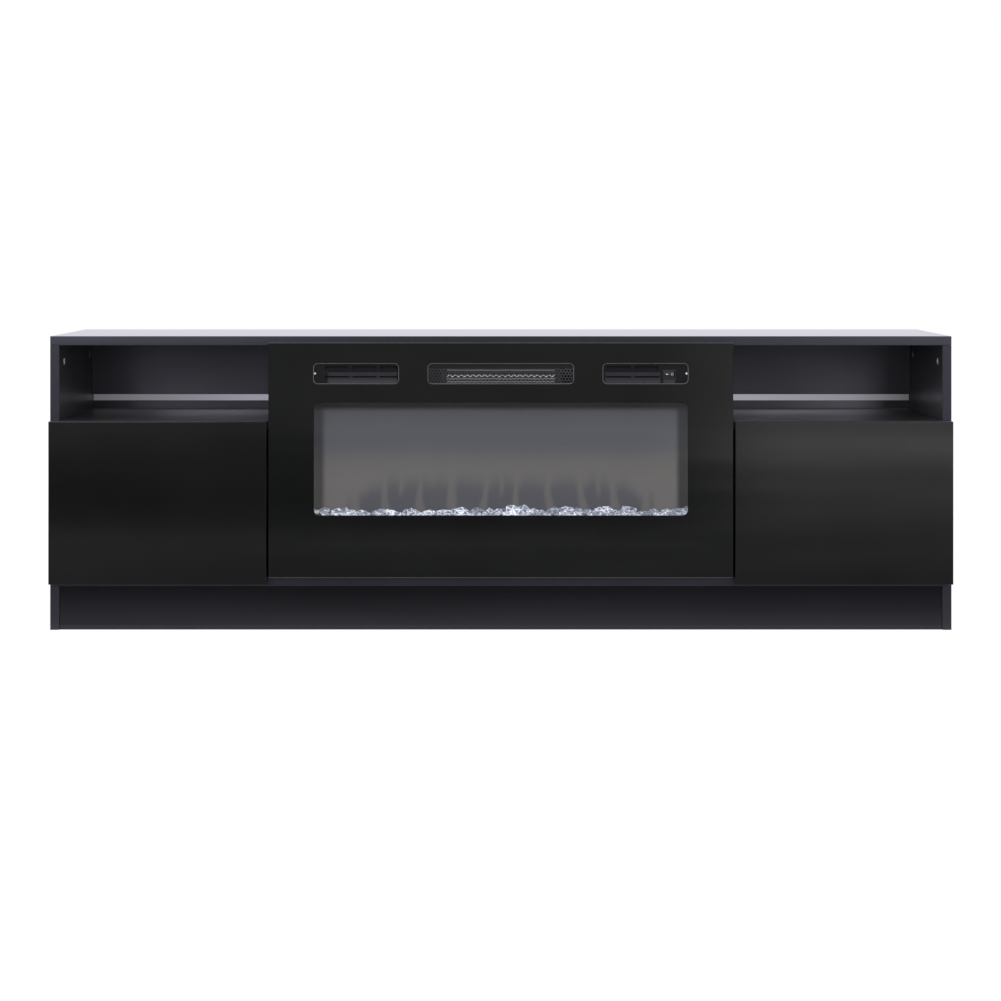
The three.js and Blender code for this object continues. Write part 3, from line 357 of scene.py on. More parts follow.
def plainFinish(name, slot, tone, haze=None, bump=None, levels=None, toneSpan=(0.3, 0.7),
                hazeSpan=(0.3, 0.7)):
    # tone, haze and bump each begin with the noise that they run over: scale, detail and stretch
    material, shader, place = startFinish(name)
    kinds = dict.fromkeys(part[0] for part in (tone, haze, bump) if part)
    noises = {kind: noiseAt(place, *kind) for kind in kinds}
    fill(shader, {"Base Color": rampOf(noises[tone[0]], list(zip(toneSpan, tone[1:]))), **(levels or {})})
    if haze:
        fill(shader, {"Roughness": mapped(noises[haze[0]], *hazeSpan, *haze[1:])})
    if bump:
        bumpFrom(shader, noises[bump[0]], *bump[1:])
    return {"material": material, "slot": slot}


def metalFinish(name, dark, light, rough, metallic=1.0, slot="plated_steel", stretch=(1.0, 1.0, 1.0)):
    # the stretch draws the grain out along one axis
    grain = (60.0, 4.0, stretch)
    return plainFinish(name, slot, (grain, dark, light), (grain, rough - 0.06, rough + 0.08),
                       (grain, 0.04, 0.0002), {"Metallic": metallic})


powder = {"grain": (700.0, 3.0), "span": (0.35, 0.65), "haze": (0.42, 0.58), "bump": (0.25, 0.0002)}


def powderFinish(name, dark, light, specular=0.5):
    grain = powder["grain"]
    return plainFinish(name, "black_steel", (grain, dark, light), (grain, *powder["haze"]),
                       (grain, *powder["bump"]), {"Specular IOR Level": specular},
                       powder["span"], powder["span"])


# louvre tones: painted light on the lower hoods, painted shade at the left end
louvreCoatAndPaintedLight = {"upper": (0.0150, 0.0150, 0.0190), "lower": (0.0400, 0.0400, 0.0480),
              "pan": (0.0095, 0.0095, 0.0100), "rampHead": 0.4995, "rampFoot": 0.4880,
              "fade": (-0.354, -0.328), "middle": (-0.1, 0.1), "rightShare": 0.68,
              "grain": (0.85, 1.15), "specular": 0.28}


def louvreFinish(name, plan):
    # powder coat with painted light and painted shade: the lower hoods are painted lighter, less so on the
    # right, and the left end is painted dark
    material, shader, place = startFinish(name)
    axes = axesOf(place)
    # painted light: the lower hoods take the lighter tone, less so on the right
    paintedLightShare = times(mapped(axes["Z"], plan["rampHead"], plan["rampFoot"]),
                 mapped(axes["X"], *plan["middle"], 1.0, plan["rightShare"]))
    tone = blended(paintedLightShare, plan["upper"], plan["lower"])
    # painted shade: the left end fades to the dark pan tone
    tone = blended(mapped(axes["X"], *plan["fade"]), plan["pan"], tone)
    grain = noiseAt(place, *powder["grain"])
    tone = blended(1.0, tone, mapped(grain, *powder["span"], *plan["grain"]), "MULTIPLY")
    fill(shader, {"Base Color": tone, "Roughness": mapped(grain, *powder["span"], *powder["haze"]),
                  "Specular IOR Level": plan["specular"]})
    bumpFrom(shader, grain, *powder["bump"])
    return {"material": material, "slot": "black_steel"}


def clearForLamps(finish):
    # lamp light passes straight through, everything else meets the glass
    tree = finish["material"].node_tree
    lamps = tree.nodes.new("ShaderNodeLightPath").outputs["Is Shadow Ray"]
    glass = tree.nodes["Principled BSDF"].outputs["BSDF"]
    clear = shaderOf(tree, "BsdfTransparent", {})
    fill(tree.nodes["Material Output"], {"Surface": mixShaders(lamps, glass, clear)})


paintedFireLight = {
    "edgeLeft": -0.3545, "edgeRight": 0.3530, "edgeTop": 0.4318, "edgeSoft": 0.0065,
    "leftPaintedShadow": 0.40, "rightPaintedShadow": 0.27, "topPaintedShadow": 0.06, "strength": 0.80,
    "cell": 0.0652, "cellShift": 20.5, "tongueReach": 0.310, "fork": 0.1956,
    "glow": [(0.0, (0.176, 0.166, 0.164)), (0.20, (0.176, 0.168, 0.164)), (0.38, (0.160, 0.155, 0.152)),
             (0.45, (0.136, 0.134, 0.140)), (0.56, (0.113, 0.114, 0.130)), (0.70, (0.106, 0.108, 0.127)),
             (0.82, (0.092, 0.093, 0.106)), (0.93, (0.078, 0.078, 0.086))],
    "glowSpan": (0.25, 0.45), "tongue": [(0.0, (0.104, 0.104, 0.122)), (1.0, (0.124, 0.122, 0.130))],
    "tongueSpan": (0.24, 0.30),
}


# the frosted screen's light is painted: its emission stands in for the light falling on it, with a painted
# border shadow at its edges
def fireScreenFinish(look):
    material, shader, place = startFinish("frosted_fire_screen_painted_light")
    axes = axesOf(place)
    x, z = axes["X"], axes["Z"]
    # painted light: the screen glows over the height in place of the light falling on it, warm where the
    # tongues end
    drift = mapped(noiseAt(place, 7.0, 2.0, (1.0, 0.0, 0.35)), 0.2, 0.8, -0.004, 0.004)
    glow = rampOf(mapped(plus(z, drift), *look["glowSpan"], smooth=False), look["glow"])
    # dark tongues between bright streaks
    lean = mapped(noiseAt(place, 16.0, 1.0, (1.0, 0.0, 0.6)), 0.2, 0.8, -0.007, 0.007)
    cell = reckon("FRACT", plus(reckon("DIVIDE", plus(x, lean), look["cell"]), look["cellShift"]))
    aside = times(sizeOf(minus(cell, 0.5)), 2.0)
    spread = mapped(z, 0.23, 0.29, -0.12, 0.06, smooth=False)
    body = mapped(minus(aside, spread), 0.70, 0.98, 1.0, 0.2)
    forks = mapped(noiseAt(place, 34.0, 1.0, (1.0, 0.0, 0.10)), 0.3, 0.7, 0.287, 0.303, smooth=False)
    off = sizeOf(x)
    dome = plus(times(reckon("POWER", aside, 3.0), 0.010), mapped(off, 0.20, look["tongueReach"], 0.0, 0.032))
    below = mapped(minus(minus(forks, dome), z), -0.018, 0.028)
    inside = mapped(off, look["tongueReach"] + 0.004, look["tongueReach"] - 0.014)
    # a short bright lick hangs into the middle tongue and into one on each side
    turn = reckon("FRACT", plus(reckon("DIVIDE", off, look["fork"]), 0.5))
    near = mapped(sizeOf(minus(turn, 0.5)), 0.12, 0.16, 1.0, 0.0)
    lick = times(mapped(aside, 0.03, 0.25, 0.70, 0.0), mapped(z, 0.248, 0.272))
    tongue = times(body, below, inside, minus(1.0, times(lick, near)))
    picture = blended(tongue, glow, rampOf(mapped(z, *look["tongueSpan"]), look["tongue"]))
    # painted shadow of the printed border, soft along the left, right and top, a little inside the pane's
    # edges
    soft = look["edgeSoft"]
    left = mapped(x, look["edgeLeft"] - soft, look["edgeLeft"] + soft, look["leftPaintedShadow"], 1.0)
    right = mapped(x, look["edgeRight"] + soft, look["edgeRight"] - soft, look["rightPaintedShadow"], 1.0)
    top = mapped(z, look["edgeTop"] + soft, look["edgeTop"] - soft, look["topPaintedShadow"], 1.0)
    fill(shader, {"Emission Color": blended(1.0, picture, times(left, right, top), "MULTIPLY"),
                  "Emission Strength": look["strength"], "Roughness": 0.6, "Specular IOR Level": 0.15,
                  "Base Color": rampOf(noiseAt(place, 400.0, 2.0), [(0.3, 0.006), (0.7, 0.009)])})
    return {"material": material, "slot": "frosted_screen"}


# the stones' tones, whitest for the painted highlights
crystalToneAndHighlight = [(0.0, (0.030, 0.035, 0.050)), (0.30, (0.105, 0.118, 0.155)), (0.56, (0.28, 0.305, 0.37)),
               (0.76, (0.80, 0.83, 0.90)), (0.88, (0.97, 0.98, 1.0))]


def crystalFinish():
    # painted highlights and painted glow: every facet's own painted light level, flecked with flaws, glowing
    # in place of the light the stones catch
    material, shader, place = startFinish("crushed_glass")
    facetPaintedLight = material.node_tree.nodes.new("ShaderNodeVertexColor")
    facetPaintedLight.layer_name = "facetPaintedLight"
    flaw = noiseAt(place, 260.0, 3.0)
    level = blended(0.22, facetPaintedLight.outputs["Color"], rampOf(flaw, [(0.38, 0.0), (0.62, 1.0)]))
    tone = rampOf(level, crystalToneAndHighlight)
    fill(shader, {"Base Color": tone, "Emission Color": tone, "Emission Strength": 0.50,
                  "Roughness": mapped(flaw, 0.3, 0.7, 0.05, 0.25), "Specular IOR Level": 0.7})
    return {"material": material, "slot": "crystal"}


satinEdge, sideEdge, doorTopHighlight, satinFace, shelfTopPaintedLight, glossTop, plinthPaintedShade = (
    boardFinish(name, *look) for name, look in boardTones.items())
backPaintedShadeFace = {name: boardFinish(name + "_face", shade["tone"], backHaze, shade=shade)
            for name, shade in backPaintedShade.items()}
doorLacquer = plainFinish(
    "door_lacquer", "gloss_door", ((5.0, 2.0), (0.0068, 0.0066, 0.0070), (0.0088, 0.0086, 0.0090)),
    ((14.0, 3.0), 0.04, 0.07), ((120.0, 1.0), 0.02, 0.0003),  # the bump is the lacquer's orange peel
    {"Specular IOR Level": 0.48}, toneSpan=(0.35, 0.65))
satinBoard = plainFinish(
    "satin_melamine", "plain_board",
    ((40.0, 5.0, (1.0, 1.0, 0.25)), (0.040, 0.040, 0.0440), (0.047, 0.047, 0.0515)),
    ((90.0, 3.0), 0.30, 0.38), ((900.0, 2.0), 0.12, 0.0002),
    {"Specular IOR Level": 0.34, "Specular Tint": boardLook["tint"]})
nickel = metalFinish("nickel_plate", (0.50, 0.49, 0.47), (0.66, 0.65, 0.62), 0.26)
blackSteel = powderFinish("black_powder_coat", (0.013, 0.013, 0.015), (0.022, 0.022, 0.024))
panSteel = powderFinish("dark_pan_coat", (0.0085, 0.0085, 0.0092), (0.0115, 0.0115, 0.0122), 0.12)
louvreSteelPaintedLight = louvreFinish("louvre_coat_painted_light", louvreCoatAndPaintedLight)
stripSteel = powderFinish("mesh_frame_coat", (0.0098, 0.0098, 0.0115), (0.0130, 0.0130, 0.0150), 0.22)
meshSteel = powderFinish("mesh_coat", (0.060, 0.060, 0.065), (0.084, 0.084, 0.091))
ductSteel = powderFinish("duct_coat", (0.0040, 0.0040, 0.0044), (0.0058, 0.0058, 0.0063), 0.15)
blackPlastic = plainFinish(
    "black_moulded_plastic", "black_plastic", ((30.0, 2.0), (0.011, 0.011, 0.012), (0.018, 0.018, 0.019)),
    ((1100.0, 2.0), 0.34, 0.46), ((1100.0, 2.0), 0.15, 0.0001))
blackPrint = plainFinish(
    "black_glass_print", "black_print", ((9.0, 3.0), (0.009, 0.0095, 0.0095), (0.0135, 0.0138, 0.0135)),
    ((300.0, 2.0), 0.4, 0.5), levels={"Specular IOR Level": 0.2})
clearGlass = plainFinish(
    "tempered_glass", "front_glass", ((2.0, 1.0), (0.952, 0.955, 0.962), (0.962, 0.965, 0.970)),
    levels={"Transmission Weight": 1.0, "IOR": 1.47, "Roughness": 0.0, "Specular IOR Level": 0.12})
clearForLamps(clearGlass)
# glass over black print reads as one deep black gloss surface
backedGlass = plainFinish(
    "black_backed_glass", "black_print", ((5.0, 2.0), (0.0053, 0.0056, 0.0058), (0.0070, 0.0073, 0.0073)),
    ((9.0, 2.0), 0.0, 0.02), levels={"IOR": 1.47})
# pale ground glass, partly a painted highlight along the edges
groundEdgeHighlight = plainFinish(
    "ground_glass_edge_highlight", "front_glass", ((500.0, 3.0), (0.13, 0.13, 0.134), (0.20, 0.20, 0.207)),
    ((500.0, 3.0), 0.3, 0.45))
paintedGlowScreen = fireScreenFinish(paintedFireLight)
crushedGlassPaintedLight = crystalFinish()
whiteMark = plainFinish("white_marking", "black_plastic", ((900.0, 2.0), 0.58, 0.72),
                        levels={"Roughness": 0.5})
ribbonSteel = metalFinish("bright_heater_ribbon", (0.80, 0.79, 0.78), (0.95, 0.94, 0.93), 0.30, 0.2,
                          "heater_ribbon")
dullRibbon = metalFinish("dull_heater_ribbon", (0.46, 0.46, 0.46), (0.62, 0.62, 0.62), 0.36, 0.3,
                         "heater_ribbon")
# painted glint: the louvre screw heads are near white so they read as glints
glintZinc = metalFinish("zinc_painted_glint", (0.82, 0.82, 0.81), (0.95, 0.95, 0.94), 0.30, 0.15)
# painted shade: the rear cams are a darker copy of the zinc, for the shade deep in the niche
shadedZincCam = metalFinish("zinc_cam_painted_shade", (0.20, 0.21, 0.19), (0.28, 0.29, 0.27), 0.45, 0.15)
zincCam = metalFinish("zinc_cam", (0.56, 0.46, 0.40), (0.74, 0.62, 0.55), 0.42, 0.15)
heaterSteel = metalFinish("heater_frame_steel", (0.030, 0.030, 0.034), (0.050, 0.050, 0.055), 0.42,
                          slot="aluminium", stretch=(0.3, 1.0, 1.0))
aluminium = metalFinish("mill_aluminium", (0.55, 0.55, 0.57), (0.72, 0.72, 0.74), 0.35,
                        slot="aluminium", stretch=(0.2, 1.0, 1.0))
tracks = (180.0, 2.0, (1.0, 0.3, 1.0))
circuit = plainFinish("circuit_board", "led_board", (tracks, (0.62, 0.65, 0.62), (0.70, 0.72, 0.69)),
                      (tracks, 0.35, 0.5), toneSpan=(0.48, 0.52), hazeSpan=(0.4, 0.6))

# boards of the carcass

print("boards")

boardPlan = {"glossRound": 0.0008, "satinRound": 0.0005, "rounds": 2}


def dressBoard(node, finish, width, edge=None, upper=None):
    # the edge band is on the narrow faces to the front, or a back's painted shade and glow on its front face;
    # the upper finish on what faces up, painted light on the shelves
    bm = fromNode(node)
    bevelled(bm, boxEdges(bm), width, boardPlan["rounds"])
    kinds = [finish, *[one for one in (edge, upper) if one]]
    for face in bm.faces:
        kind = edge if edge and face.normal.y < -0.5 else upper if upper and face.normal.z > 0.5 else finish
        face.material_index = kinds.index(kind)
    addPiece(node + "_board", bm, finish, nodeBody(node), (node,), extra=kinds[1:], weighted=True)


dressBoard("top_panel", satinFace, boardPlan["glossRound"], satinEdge, glossTop)
# the plinth takes the painted shade
dressBoard("plinth_front", plinthPaintedShade, boardPlan["glossRound"])
for side, _ in sides:
    # the shelves' upper faces take the painted light
    dressBoard(side + "niche_shelf", satinFace, boardPlan["glossRound"], satinEdge, shelfTopPaintedLight)
    for node in (side + "lower_back", side + "upper_back"):
        # the backs' front faces carry painted shade and painted glow
        dressBoard(node, satinBoard, boardPlan["satinRound"], backPaintedShadeFace[node])
for node in ("bottom_panel", *[side + name for side, _ in sides for name in ("side_panel", "partition")]):
    dressBoard(node, satinFace, boardPlan["glossRound"], sideEdge)
for node in ("plinth_rear", "rear_rail", "left_plinth_brace", "right_plinth_brace"):
    dressBoard(node, satinBoard, boardPlan["satinRound"])

# cupboard doors

print("doors")

doorPlan = {"round": 0.0022, "steps": 4, "highlightTilt": 0.62}
for side, _ in sides:
    bm = fromNode(side + "door")
    bevelled(bm, boxEdges(bm), doorPlan["round"], doorPlan["steps"])
    for face in bm.faces:
        # the faces that look up along the door's top take the painted highlight
        face.material_index = 1 if face.normal.z > doorPlan["highlightTilt"] else 0
    addPiece(side + "door_leaf", bm, doorLacquer, nodeBody(side + "door"), (side + "door",),
             extra=(doorTopHighlight,), weighted=True)

# the insert's glass and its printed border

print("glass front")

glassLow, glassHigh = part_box("front_glass")
borderLow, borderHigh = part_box("glass_border")
glassPlan = {
    "corner": 0.003, "cornerSteps": 5, "chamfer": 0.0006, "seam": 0.00015, "over": 0.002,
    "ventSpans": ((-0.3685, -0.2005), (-0.1435, 0.1435), (0.2005, 0.3685)), "ventFoot": 0.487,
    "ventHead": 0.5275, "ventCorner": 0.009, "ventChamfer": 0.0009, "ventShrink": 0.0007,
    "paneHalf": 0.3675, "paneFoot": 0.228, "paneHead": 0.450, "paneCorner": 0.011,
}


def paneShape(front, back, grow=0.0):
    plan = glassPlan
    return roundedPlate((-plan["paneHalf"] - grow, front, plan["paneFoot"] - grow),
                        (plan["paneHalf"] + grow, back, plan["paneHead"] + grow), plan["paneCorner"] + grow)


def pierced(low, high, shrink=0.0):
    # a plate with the three vents and the pane cut out
    plan = glassPlan
    front, back = low.y - plan["over"], high.y + plan["over"]
    vents = [roundedPlate((start + shrink, front, plan["ventFoot"] + shrink),
                          (end - shrink, back, plan["ventHead"] - shrink), plan["ventCorner"] - shrink)
             for start, end in plan["ventSpans"]]
    return carved(roundedPlate(low, high, plan["corner"], plan["cornerSteps"]),
                  [*vents, paneShape(front, back)])


def byPane(point):
    plan = glassPlan
    near = 2 * plan["chamfer"]
    return (abs(point.x) < plan["paneHalf"] + near and
            plan["paneFoot"] - near < point.z < plan["paneHead"] + near)


def byVent(point):
    plan = glassPlan
    near = 2 * plan["ventChamfer"]
    level = plan["ventFoot"] - near < point.z < plan["ventHead"] + near
    return level and any(start - near < point.x < end + near for start, end in plan["ventSpans"])


def glassSurround():
    plan = glassPlan
    bm = pierced(glassLow, glassHigh, plan["ventShrink"])
    rims = [e for e in sharpEdges(bm) if any(f.normal.y < -0.9 for f in e.link_faces)]
    vents = [e for e in rims if byVent(e.verts[0].co)]
    outline = [e for e in rims if not byVent(e.verts[0].co)]
    bevelled(bm, vents, plan["ventChamfer"], 1, clamp=False)
    bevelled(bm, outline, plan["chamfer"], 1, clamp=False)
    for face in bm.faces:
        # the pale ground chamfers, partly a painted highlight where the edges catch light: not round the pane
        # nor up the outer sides
        middle = face.calc_center_median()
        slant = 0.3 < abs(face.normal.y) < 0.9
        upright = abs(face.normal.x) > 0.5 and not byVent(middle)
        face.material_index = 1 if slant and not upright and not byPane(middle) else 0
    return bm


addPiece("printed_glass_surround", glassSurround(), backedGlass, replaces=("front_glass",),
         extra=(groundEdgeHighlight,))
bm = paneShape(glassLow.y, glassHigh.y, -glassPlan["seam"])
rims = [e for e in sharpEdges(bm) if any(abs(f.normal.y) > 0.9 for f in e.link_faces)]
bevelled(bm, rims, glassPlan["seam"], 1)
addPiece("clear_glass_pane", bm, clearGlass, replaces=("front_glass",))
addPiece("printed_glass_border", pierced(borderLow, borderHigh), blackPrint, replaces=("glass_border",))

# outlet mesh of hexagons

print("outlet mesh")

meshLow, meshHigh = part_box("outlet_mesh")
meshPlan = {"pitch": 0.0062, "strut": 0.0010, "thick": 0.0005, "frame": 0.004, "frameHead": 0.0137,
            "corner": 0.002, "cornerSteps": 4, "over": 0.001, "round": 0.0002}


def hexSheet(low, high, plan):
    across = plan["pitch"]
    radius = across / math.sqrt(3.0)
    up = radius * 1.5
    middle = (low + high) / 2
    columns = int((high.x - low.x) / across / 2) + 2
    rows = int((high.z - low.z) / up / 2) + 2
    bm = bmesh.new()
    for row in range(-rows, rows + 1):
        for column in range(-columns, columns + 1):
            place = Matrix.Translation((middle.x + (column + 0.5 * (row % 2)) * across, middle.y,
                                        middle.z + row * up))
            bmesh.ops.create_circle(bm, cap_ends=True, segments=6, radius=radius,
                                    matrix=place @ Matrix.Rotation(math.radians(90), 4, "X"))
    holes = bm.faces[:]
    bmesh.ops.inset_individual(bm, faces=holes, thickness=plan["strut"] / 2, use_even_offset=True)
    bmesh.ops.delete(bm, geom=holes, context="FACES")
    bmesh.ops.remove_doubles(bm, verts=bm.verts, dist=0.00002)
    for axis, sign in ((0, 1), (0, -1), (2, 1), (2, -1)):
        normal = Vector((0.0, 0.0, 0.0))
        normal[axis] = sign
        point = (high if sign > 0 else low) - normal * plan["frame"] * 0.5
        bmesh.ops.bisect_plane(bm, geom=[*bm.verts, *bm.edges, *bm.faces], dist=0.000001,
                               plane_co=point, plane_no=normal, clear_outer=True)
    return bm


sheet = addPiece("outlet_hex_mesh", hexSheet(meshLow, meshHigh, meshPlan), meshSteel, smooth=0.0)
thicken(sheet, meshPlan["thick"])
inset = Vector((meshPlan["frame"], -meshPlan["over"], meshPlan["frame"]))
headInset = Vector((meshPlan["frame"], -meshPlan["over"], meshPlan["frameHead"]))
inner = roundedPlate(meshLow + inset, meshHigh - headInset, meshPlan["corner"], meshPlan["cornerSteps"])
bm = carved(roundedPlate(meshLow, meshHigh, meshPlan["corner"], meshPlan["cornerSteps"]), [inner])
rims = [e for e in sharpEdges(bm) if all(abs(v.co.y - meshLow.y) < 0.0001 for v in e.verts)]
bevelled(bm, rims, meshPlan["round"], 1)
addPiece("outlet_mesh_frame", bm, stripSteel, replaces=("outlet_mesh",))

# pressed louvres behind the side cut-outs

louvrePlan = {
    "front": -0.1954, "proud": 0.0014, "run": 0.004, "hoods": ((0.5022, 0.5096), (0.4885, 0.4993)),
    "spans": ((-0.341, -0.2030), (0.2045, 0.3145)), "vanes": ((0.512, 0.522), (0.4935, 0.5035)),
    "vaneFront": -0.1945, "vaneBack": -0.1895, "thick": 0.0008, "sill": (0.3195, 0.3435, 0.4882, 0.4968),
    "vaneOver": 0.007, "webs": (-0.2955, -0.2415, 0.2595), "webHalf": 0.0040, "webProud": 0.0003,
}


def hoodInto(bm, start, end, foot, head, plan):
    # a wedge that leans outwards towards its foot and runs out at its ends
    top = plan["front"] - 0.0001
    for vert in boxInto(bm, (start, plan["front"] - plan["proud"], foot), (end, plan["front"], head)):
        if vert.co.y < top:
            if vert.co.z > (foot + head) / 2:
                vert.co.y = top
            else:
                vert.co.x += plan["run"] if vert.co.x < (start + end) / 2 else -plan["run"]


def vaneInto(bm, start, end, foot, head, plan):
    # a dark slat behind the slot, leaning back towards its head
    low = (start - plan["vaneOver"], plan["vaneFront"], foot)
    high = (end + plan["vaneOver"], plan["vaneFront"] + plan["thick"], head)
    for vert in boxInto(bm, low, high):
        if vert.co.z > (foot + head) / 2:
            vert.co.y += plan["vaneBack"] - plan["vaneFront"]
        for face in vert.link_faces:
            face.material_index = 1


def pressedLouvres(plan):
    bm = bmesh.new()
    for start, end in plan["spans"]:
        for foot, head in plan["hoods"]:
            hoodInto(bm, start, end, foot, head, plan)
        for foot, head in plan["vanes"]:
            vaneInto(bm, start, end, foot, head, plan)
    for middle in plan["webs"]:
        boxInto(bm, (middle - plan["webHalf"], plan["front"] - plan["webProud"], plan["hoods"][1][1]),
                (middle + plan["webHalf"], plan["front"], plan["hoods"][0][0]))
    hoodInto(bm, *plan["sill"], plan)
    return bm


addPiece("pressed_louvres", pressedLouvres(louvrePlan), louvreSteelPaintedLight, smooth=20.0, extra=(panSteel,))

# heater ribbons behind the mesh

print("heater")

heaterLow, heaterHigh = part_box("heater_element")
# one entry a row: level, wave length, half of the swing and thickness
heaterPlan = {
    "reach": 0.107, "ribbonDeep": 0.006, "ribbonBack": 0.002, "plate": 0.0012, "plateHead": 0.5161,
    "cheek": 0.004, "rows": ((0.5014, 0.0115, 0.0022, 0.0020), (0.4953, 0.0070, 0.0010, 0.0011),
             (0.4896, 0.0090, 0.0008, 0.0014), (0.5125, 0.0070, 0.0006, 0.0011)),
}


def ribbonRow(level, wave, swing, reach, deep, y):
    bm = bmesh.new()
    steps = int(round(2 * reach / (wave / 2)))
    last = bm.verts.new((-reach, y, level - swing))
    for step in range(1, steps + 1):
        last = bmesh.ops.extrude_vert_indiv(bm, verts=[last])["verts"][0]
        last.co.x = -reach + 2 * reach * step / steps
        last.co.z = level + swing * (1 if step % 2 else -1)
    grown = bmesh.ops.extrude_edge_only(bm, edges=bm.edges[:])["geom"]
    bmesh.ops.translate(bm, vec=(0.0, deep, 0.0),
                        verts=[g for g in grown if isinstance(g, bmesh.types.BMVert)])
    return bm


def heaterFrame(low, high, plan):
    # back wall, upper and lower plates, and a cheek at each end
    bm = bmesh.new()
    inner, foot, head = high.y - plan["plate"], low.z + plan["plate"], plan["plateHead"] - plan["plate"]
    boxInto(bm, (low.x, inner, low.z), high)
    boxInto(bm, (low.x, low.y, head), (high.x, inner, plan["plateHead"]))
    boxInto(bm, low, (high.x, inner, foot))
    for sign in (-1, 1):
        ends = sorted((sign * high.x, sign * (high.x - plan["cheek"])))
        boxInto(bm, (ends[0], low.y, foot), (ends[1], inner, head))
    return bm


addPiece("heater_frame", heaterFrame(heaterLow, heaterHigh, heaterPlan), heaterSteel,
         replaces=("heater_element",), smooth=20.0)
for number, (level, wave, swing, thick) in enumerate(heaterPlan["rows"]):
    bm = ribbonRow(level, wave, swing, heaterPlan["reach"], heaterPlan["ribbonDeep"],
                   heaterLow.y + heaterPlan["ribbonBack"])
    row = addPiece("heater_ribbon_%d" % (number + 1), bm, dullRibbon if number else ribbonSteel, smooth=0.0)
    thicken(row, thick)

# crushed glass on its bed

print("crystals")

bedLow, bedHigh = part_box("crystal_bed")
# a row's place in depth, the spacing of its stones and their least and greatest size
# bright, brightPower and outline set the facets' painted highlights
bedPlan = {
    "seed": 11, "slabHead": 0.2185, "slabSink": 0.004, "slabLevel": 0.35, "reach": 0.426, "jitter": 0.28,
    "tall": 0.42, "lift": 0.0075, "flat": (0.42, 0.80), "outline": (0.50, 1.0), "bright": 0.80,
    "brightPower": 1.7, "rows": ((-0.134, 0.0200, (0.0095, 0.0160)), (-0.150, 0.0215, (0.0095, 0.0165)),
             (-0.163, 0.0250, (0.0080, 0.0135)), (-0.170, 0.0120, (0.0040, 0.0062))),
}


def paintFace(face, layer, level):
    for loop in face.loops:
        tone = level(loop.vert)
        loop[layer] = (tone, tone, tone, 1.0)


def chipInto(bm, layer, place, size, squash, draw):
    turn = Matrix.Rotation(draw.uniform(0, math.tau), 4, "Z")
    turn = turn @ Matrix.Rotation(draw.uniform(-0.5, 0.5), 4, "X")
    wide, deep = size * draw.uniform(0.9, 1.35), size * draw.uniform(0.75, 1.0)
    shape = Matrix.Diagonal((wide, deep, size * squash, 1.0))
    made = bmesh.ops.create_icosphere(bm, subdivisions=1, radius=1.0,
                                      matrix=Matrix.Translation(place) @ turn @ shape)["verts"]
    for vert in made:
        vert.co += (vert.co - place) * draw.uniform(-bedPlan["jitter"], bedPlan["jitter"])
        vert.co.x = min(max(vert.co.x, bedLow.x), bedHigh.x)
        vert.co.y = min(max(vert.co.y, bedLow.y), bedHigh.y)
        vert.co.z = min(vert.co.z, bedHigh.z)
    faces = sorted({face for vert in made for face in vert.link_faces},
                   key=lambda f: (f.calc_center_median().x, f.calc_center_median().z))
    # painted highlights: a painted rim level for each chip's facets and a random painted level at each
    # facet's middle
    outline = draw.uniform(*bedPlan["outline"])
    for middle in bmesh.ops.poke(bm, faces=faces)["verts"]:
        bright = bedPlan["bright"] * draw.random() ** bedPlan["brightPower"]
        for face in middle.link_faces:
            paintFace(face, layer, lambda vert: bright if vert is middle else outline)


def crystalBed(plan):
    draw = random.Random(plan["seed"])
    bm = bmesh.new()
    boxInto(bm, bedLow, (bedHigh.x, bedHigh.y, plan["slabHead"] - plan["slabSink"]))
    layer = bm.loops.layers.float_color.new("facetPaintedLight")
    for face in bm.faces:
        paintFace(face, layer, lambda vert: plan["slabLevel"])
    for row, spacing, sizes in plan["rows"]:
        x = -plan["reach"]
        while x < plan["reach"]:
            size = draw.uniform(*sizes)
            squash = draw.uniform(*plan["flat"])
            lift = size * squash * 0.55
            if draw.random() < plan["tall"]:
                lift += plan["lift"]
            place = Vector((x, row + draw.uniform(-0.003, 0.003), plan["slabHead"] + lift))
            chipInto(bm, layer, place, size, squash, draw)
            x += spacing * draw.uniform(0.65, 1.5)
    return bm


addPiece("crushed_glass_bed", crystalBed(bedPlan), crushedGlassPaintedLight, replaces=("crystal_bed",), smooth=0.0)

# rocker switch

print("switch")

switchPlan = {"round": 0.0005, "markDeep": 0.0002, "dashWide": 0.0042, "dashTall": 0.0015,
              "dashMove": 0.0011, "ringRadius": 0.00245, "ringThick": 0.0005, "ringSteps": 24,
              "ringMove": 0.0017}
bm = fromNode("switch_rocker")
halves = sorted(((f.calc_center_median(), f.normal.copy()) for f in bm.faces if f.normal.y < -0.9),
                key=lambda half: half[0].x)
bevelled(bm, sharpEdges(bm, 35.0), switchPlan["round"])
addPiece("rocker_key", bm, blackPlastic, nodeBody("switch_rocker"), ("switch_rocker",))


def onFace(half, move):
    # a place moved across one half of the key's face, half a mark's depth above it
    middle, normal = half
    across = Vector((0.0, 0.0, 1.0)).cross(normal).normalized()
    turn = normal.to_track_quat("Z", "Y").to_matrix().to_4x4()
    return Matrix.Translation(middle + across * move + normal * switchPlan["markDeep"] / 2) @ turn


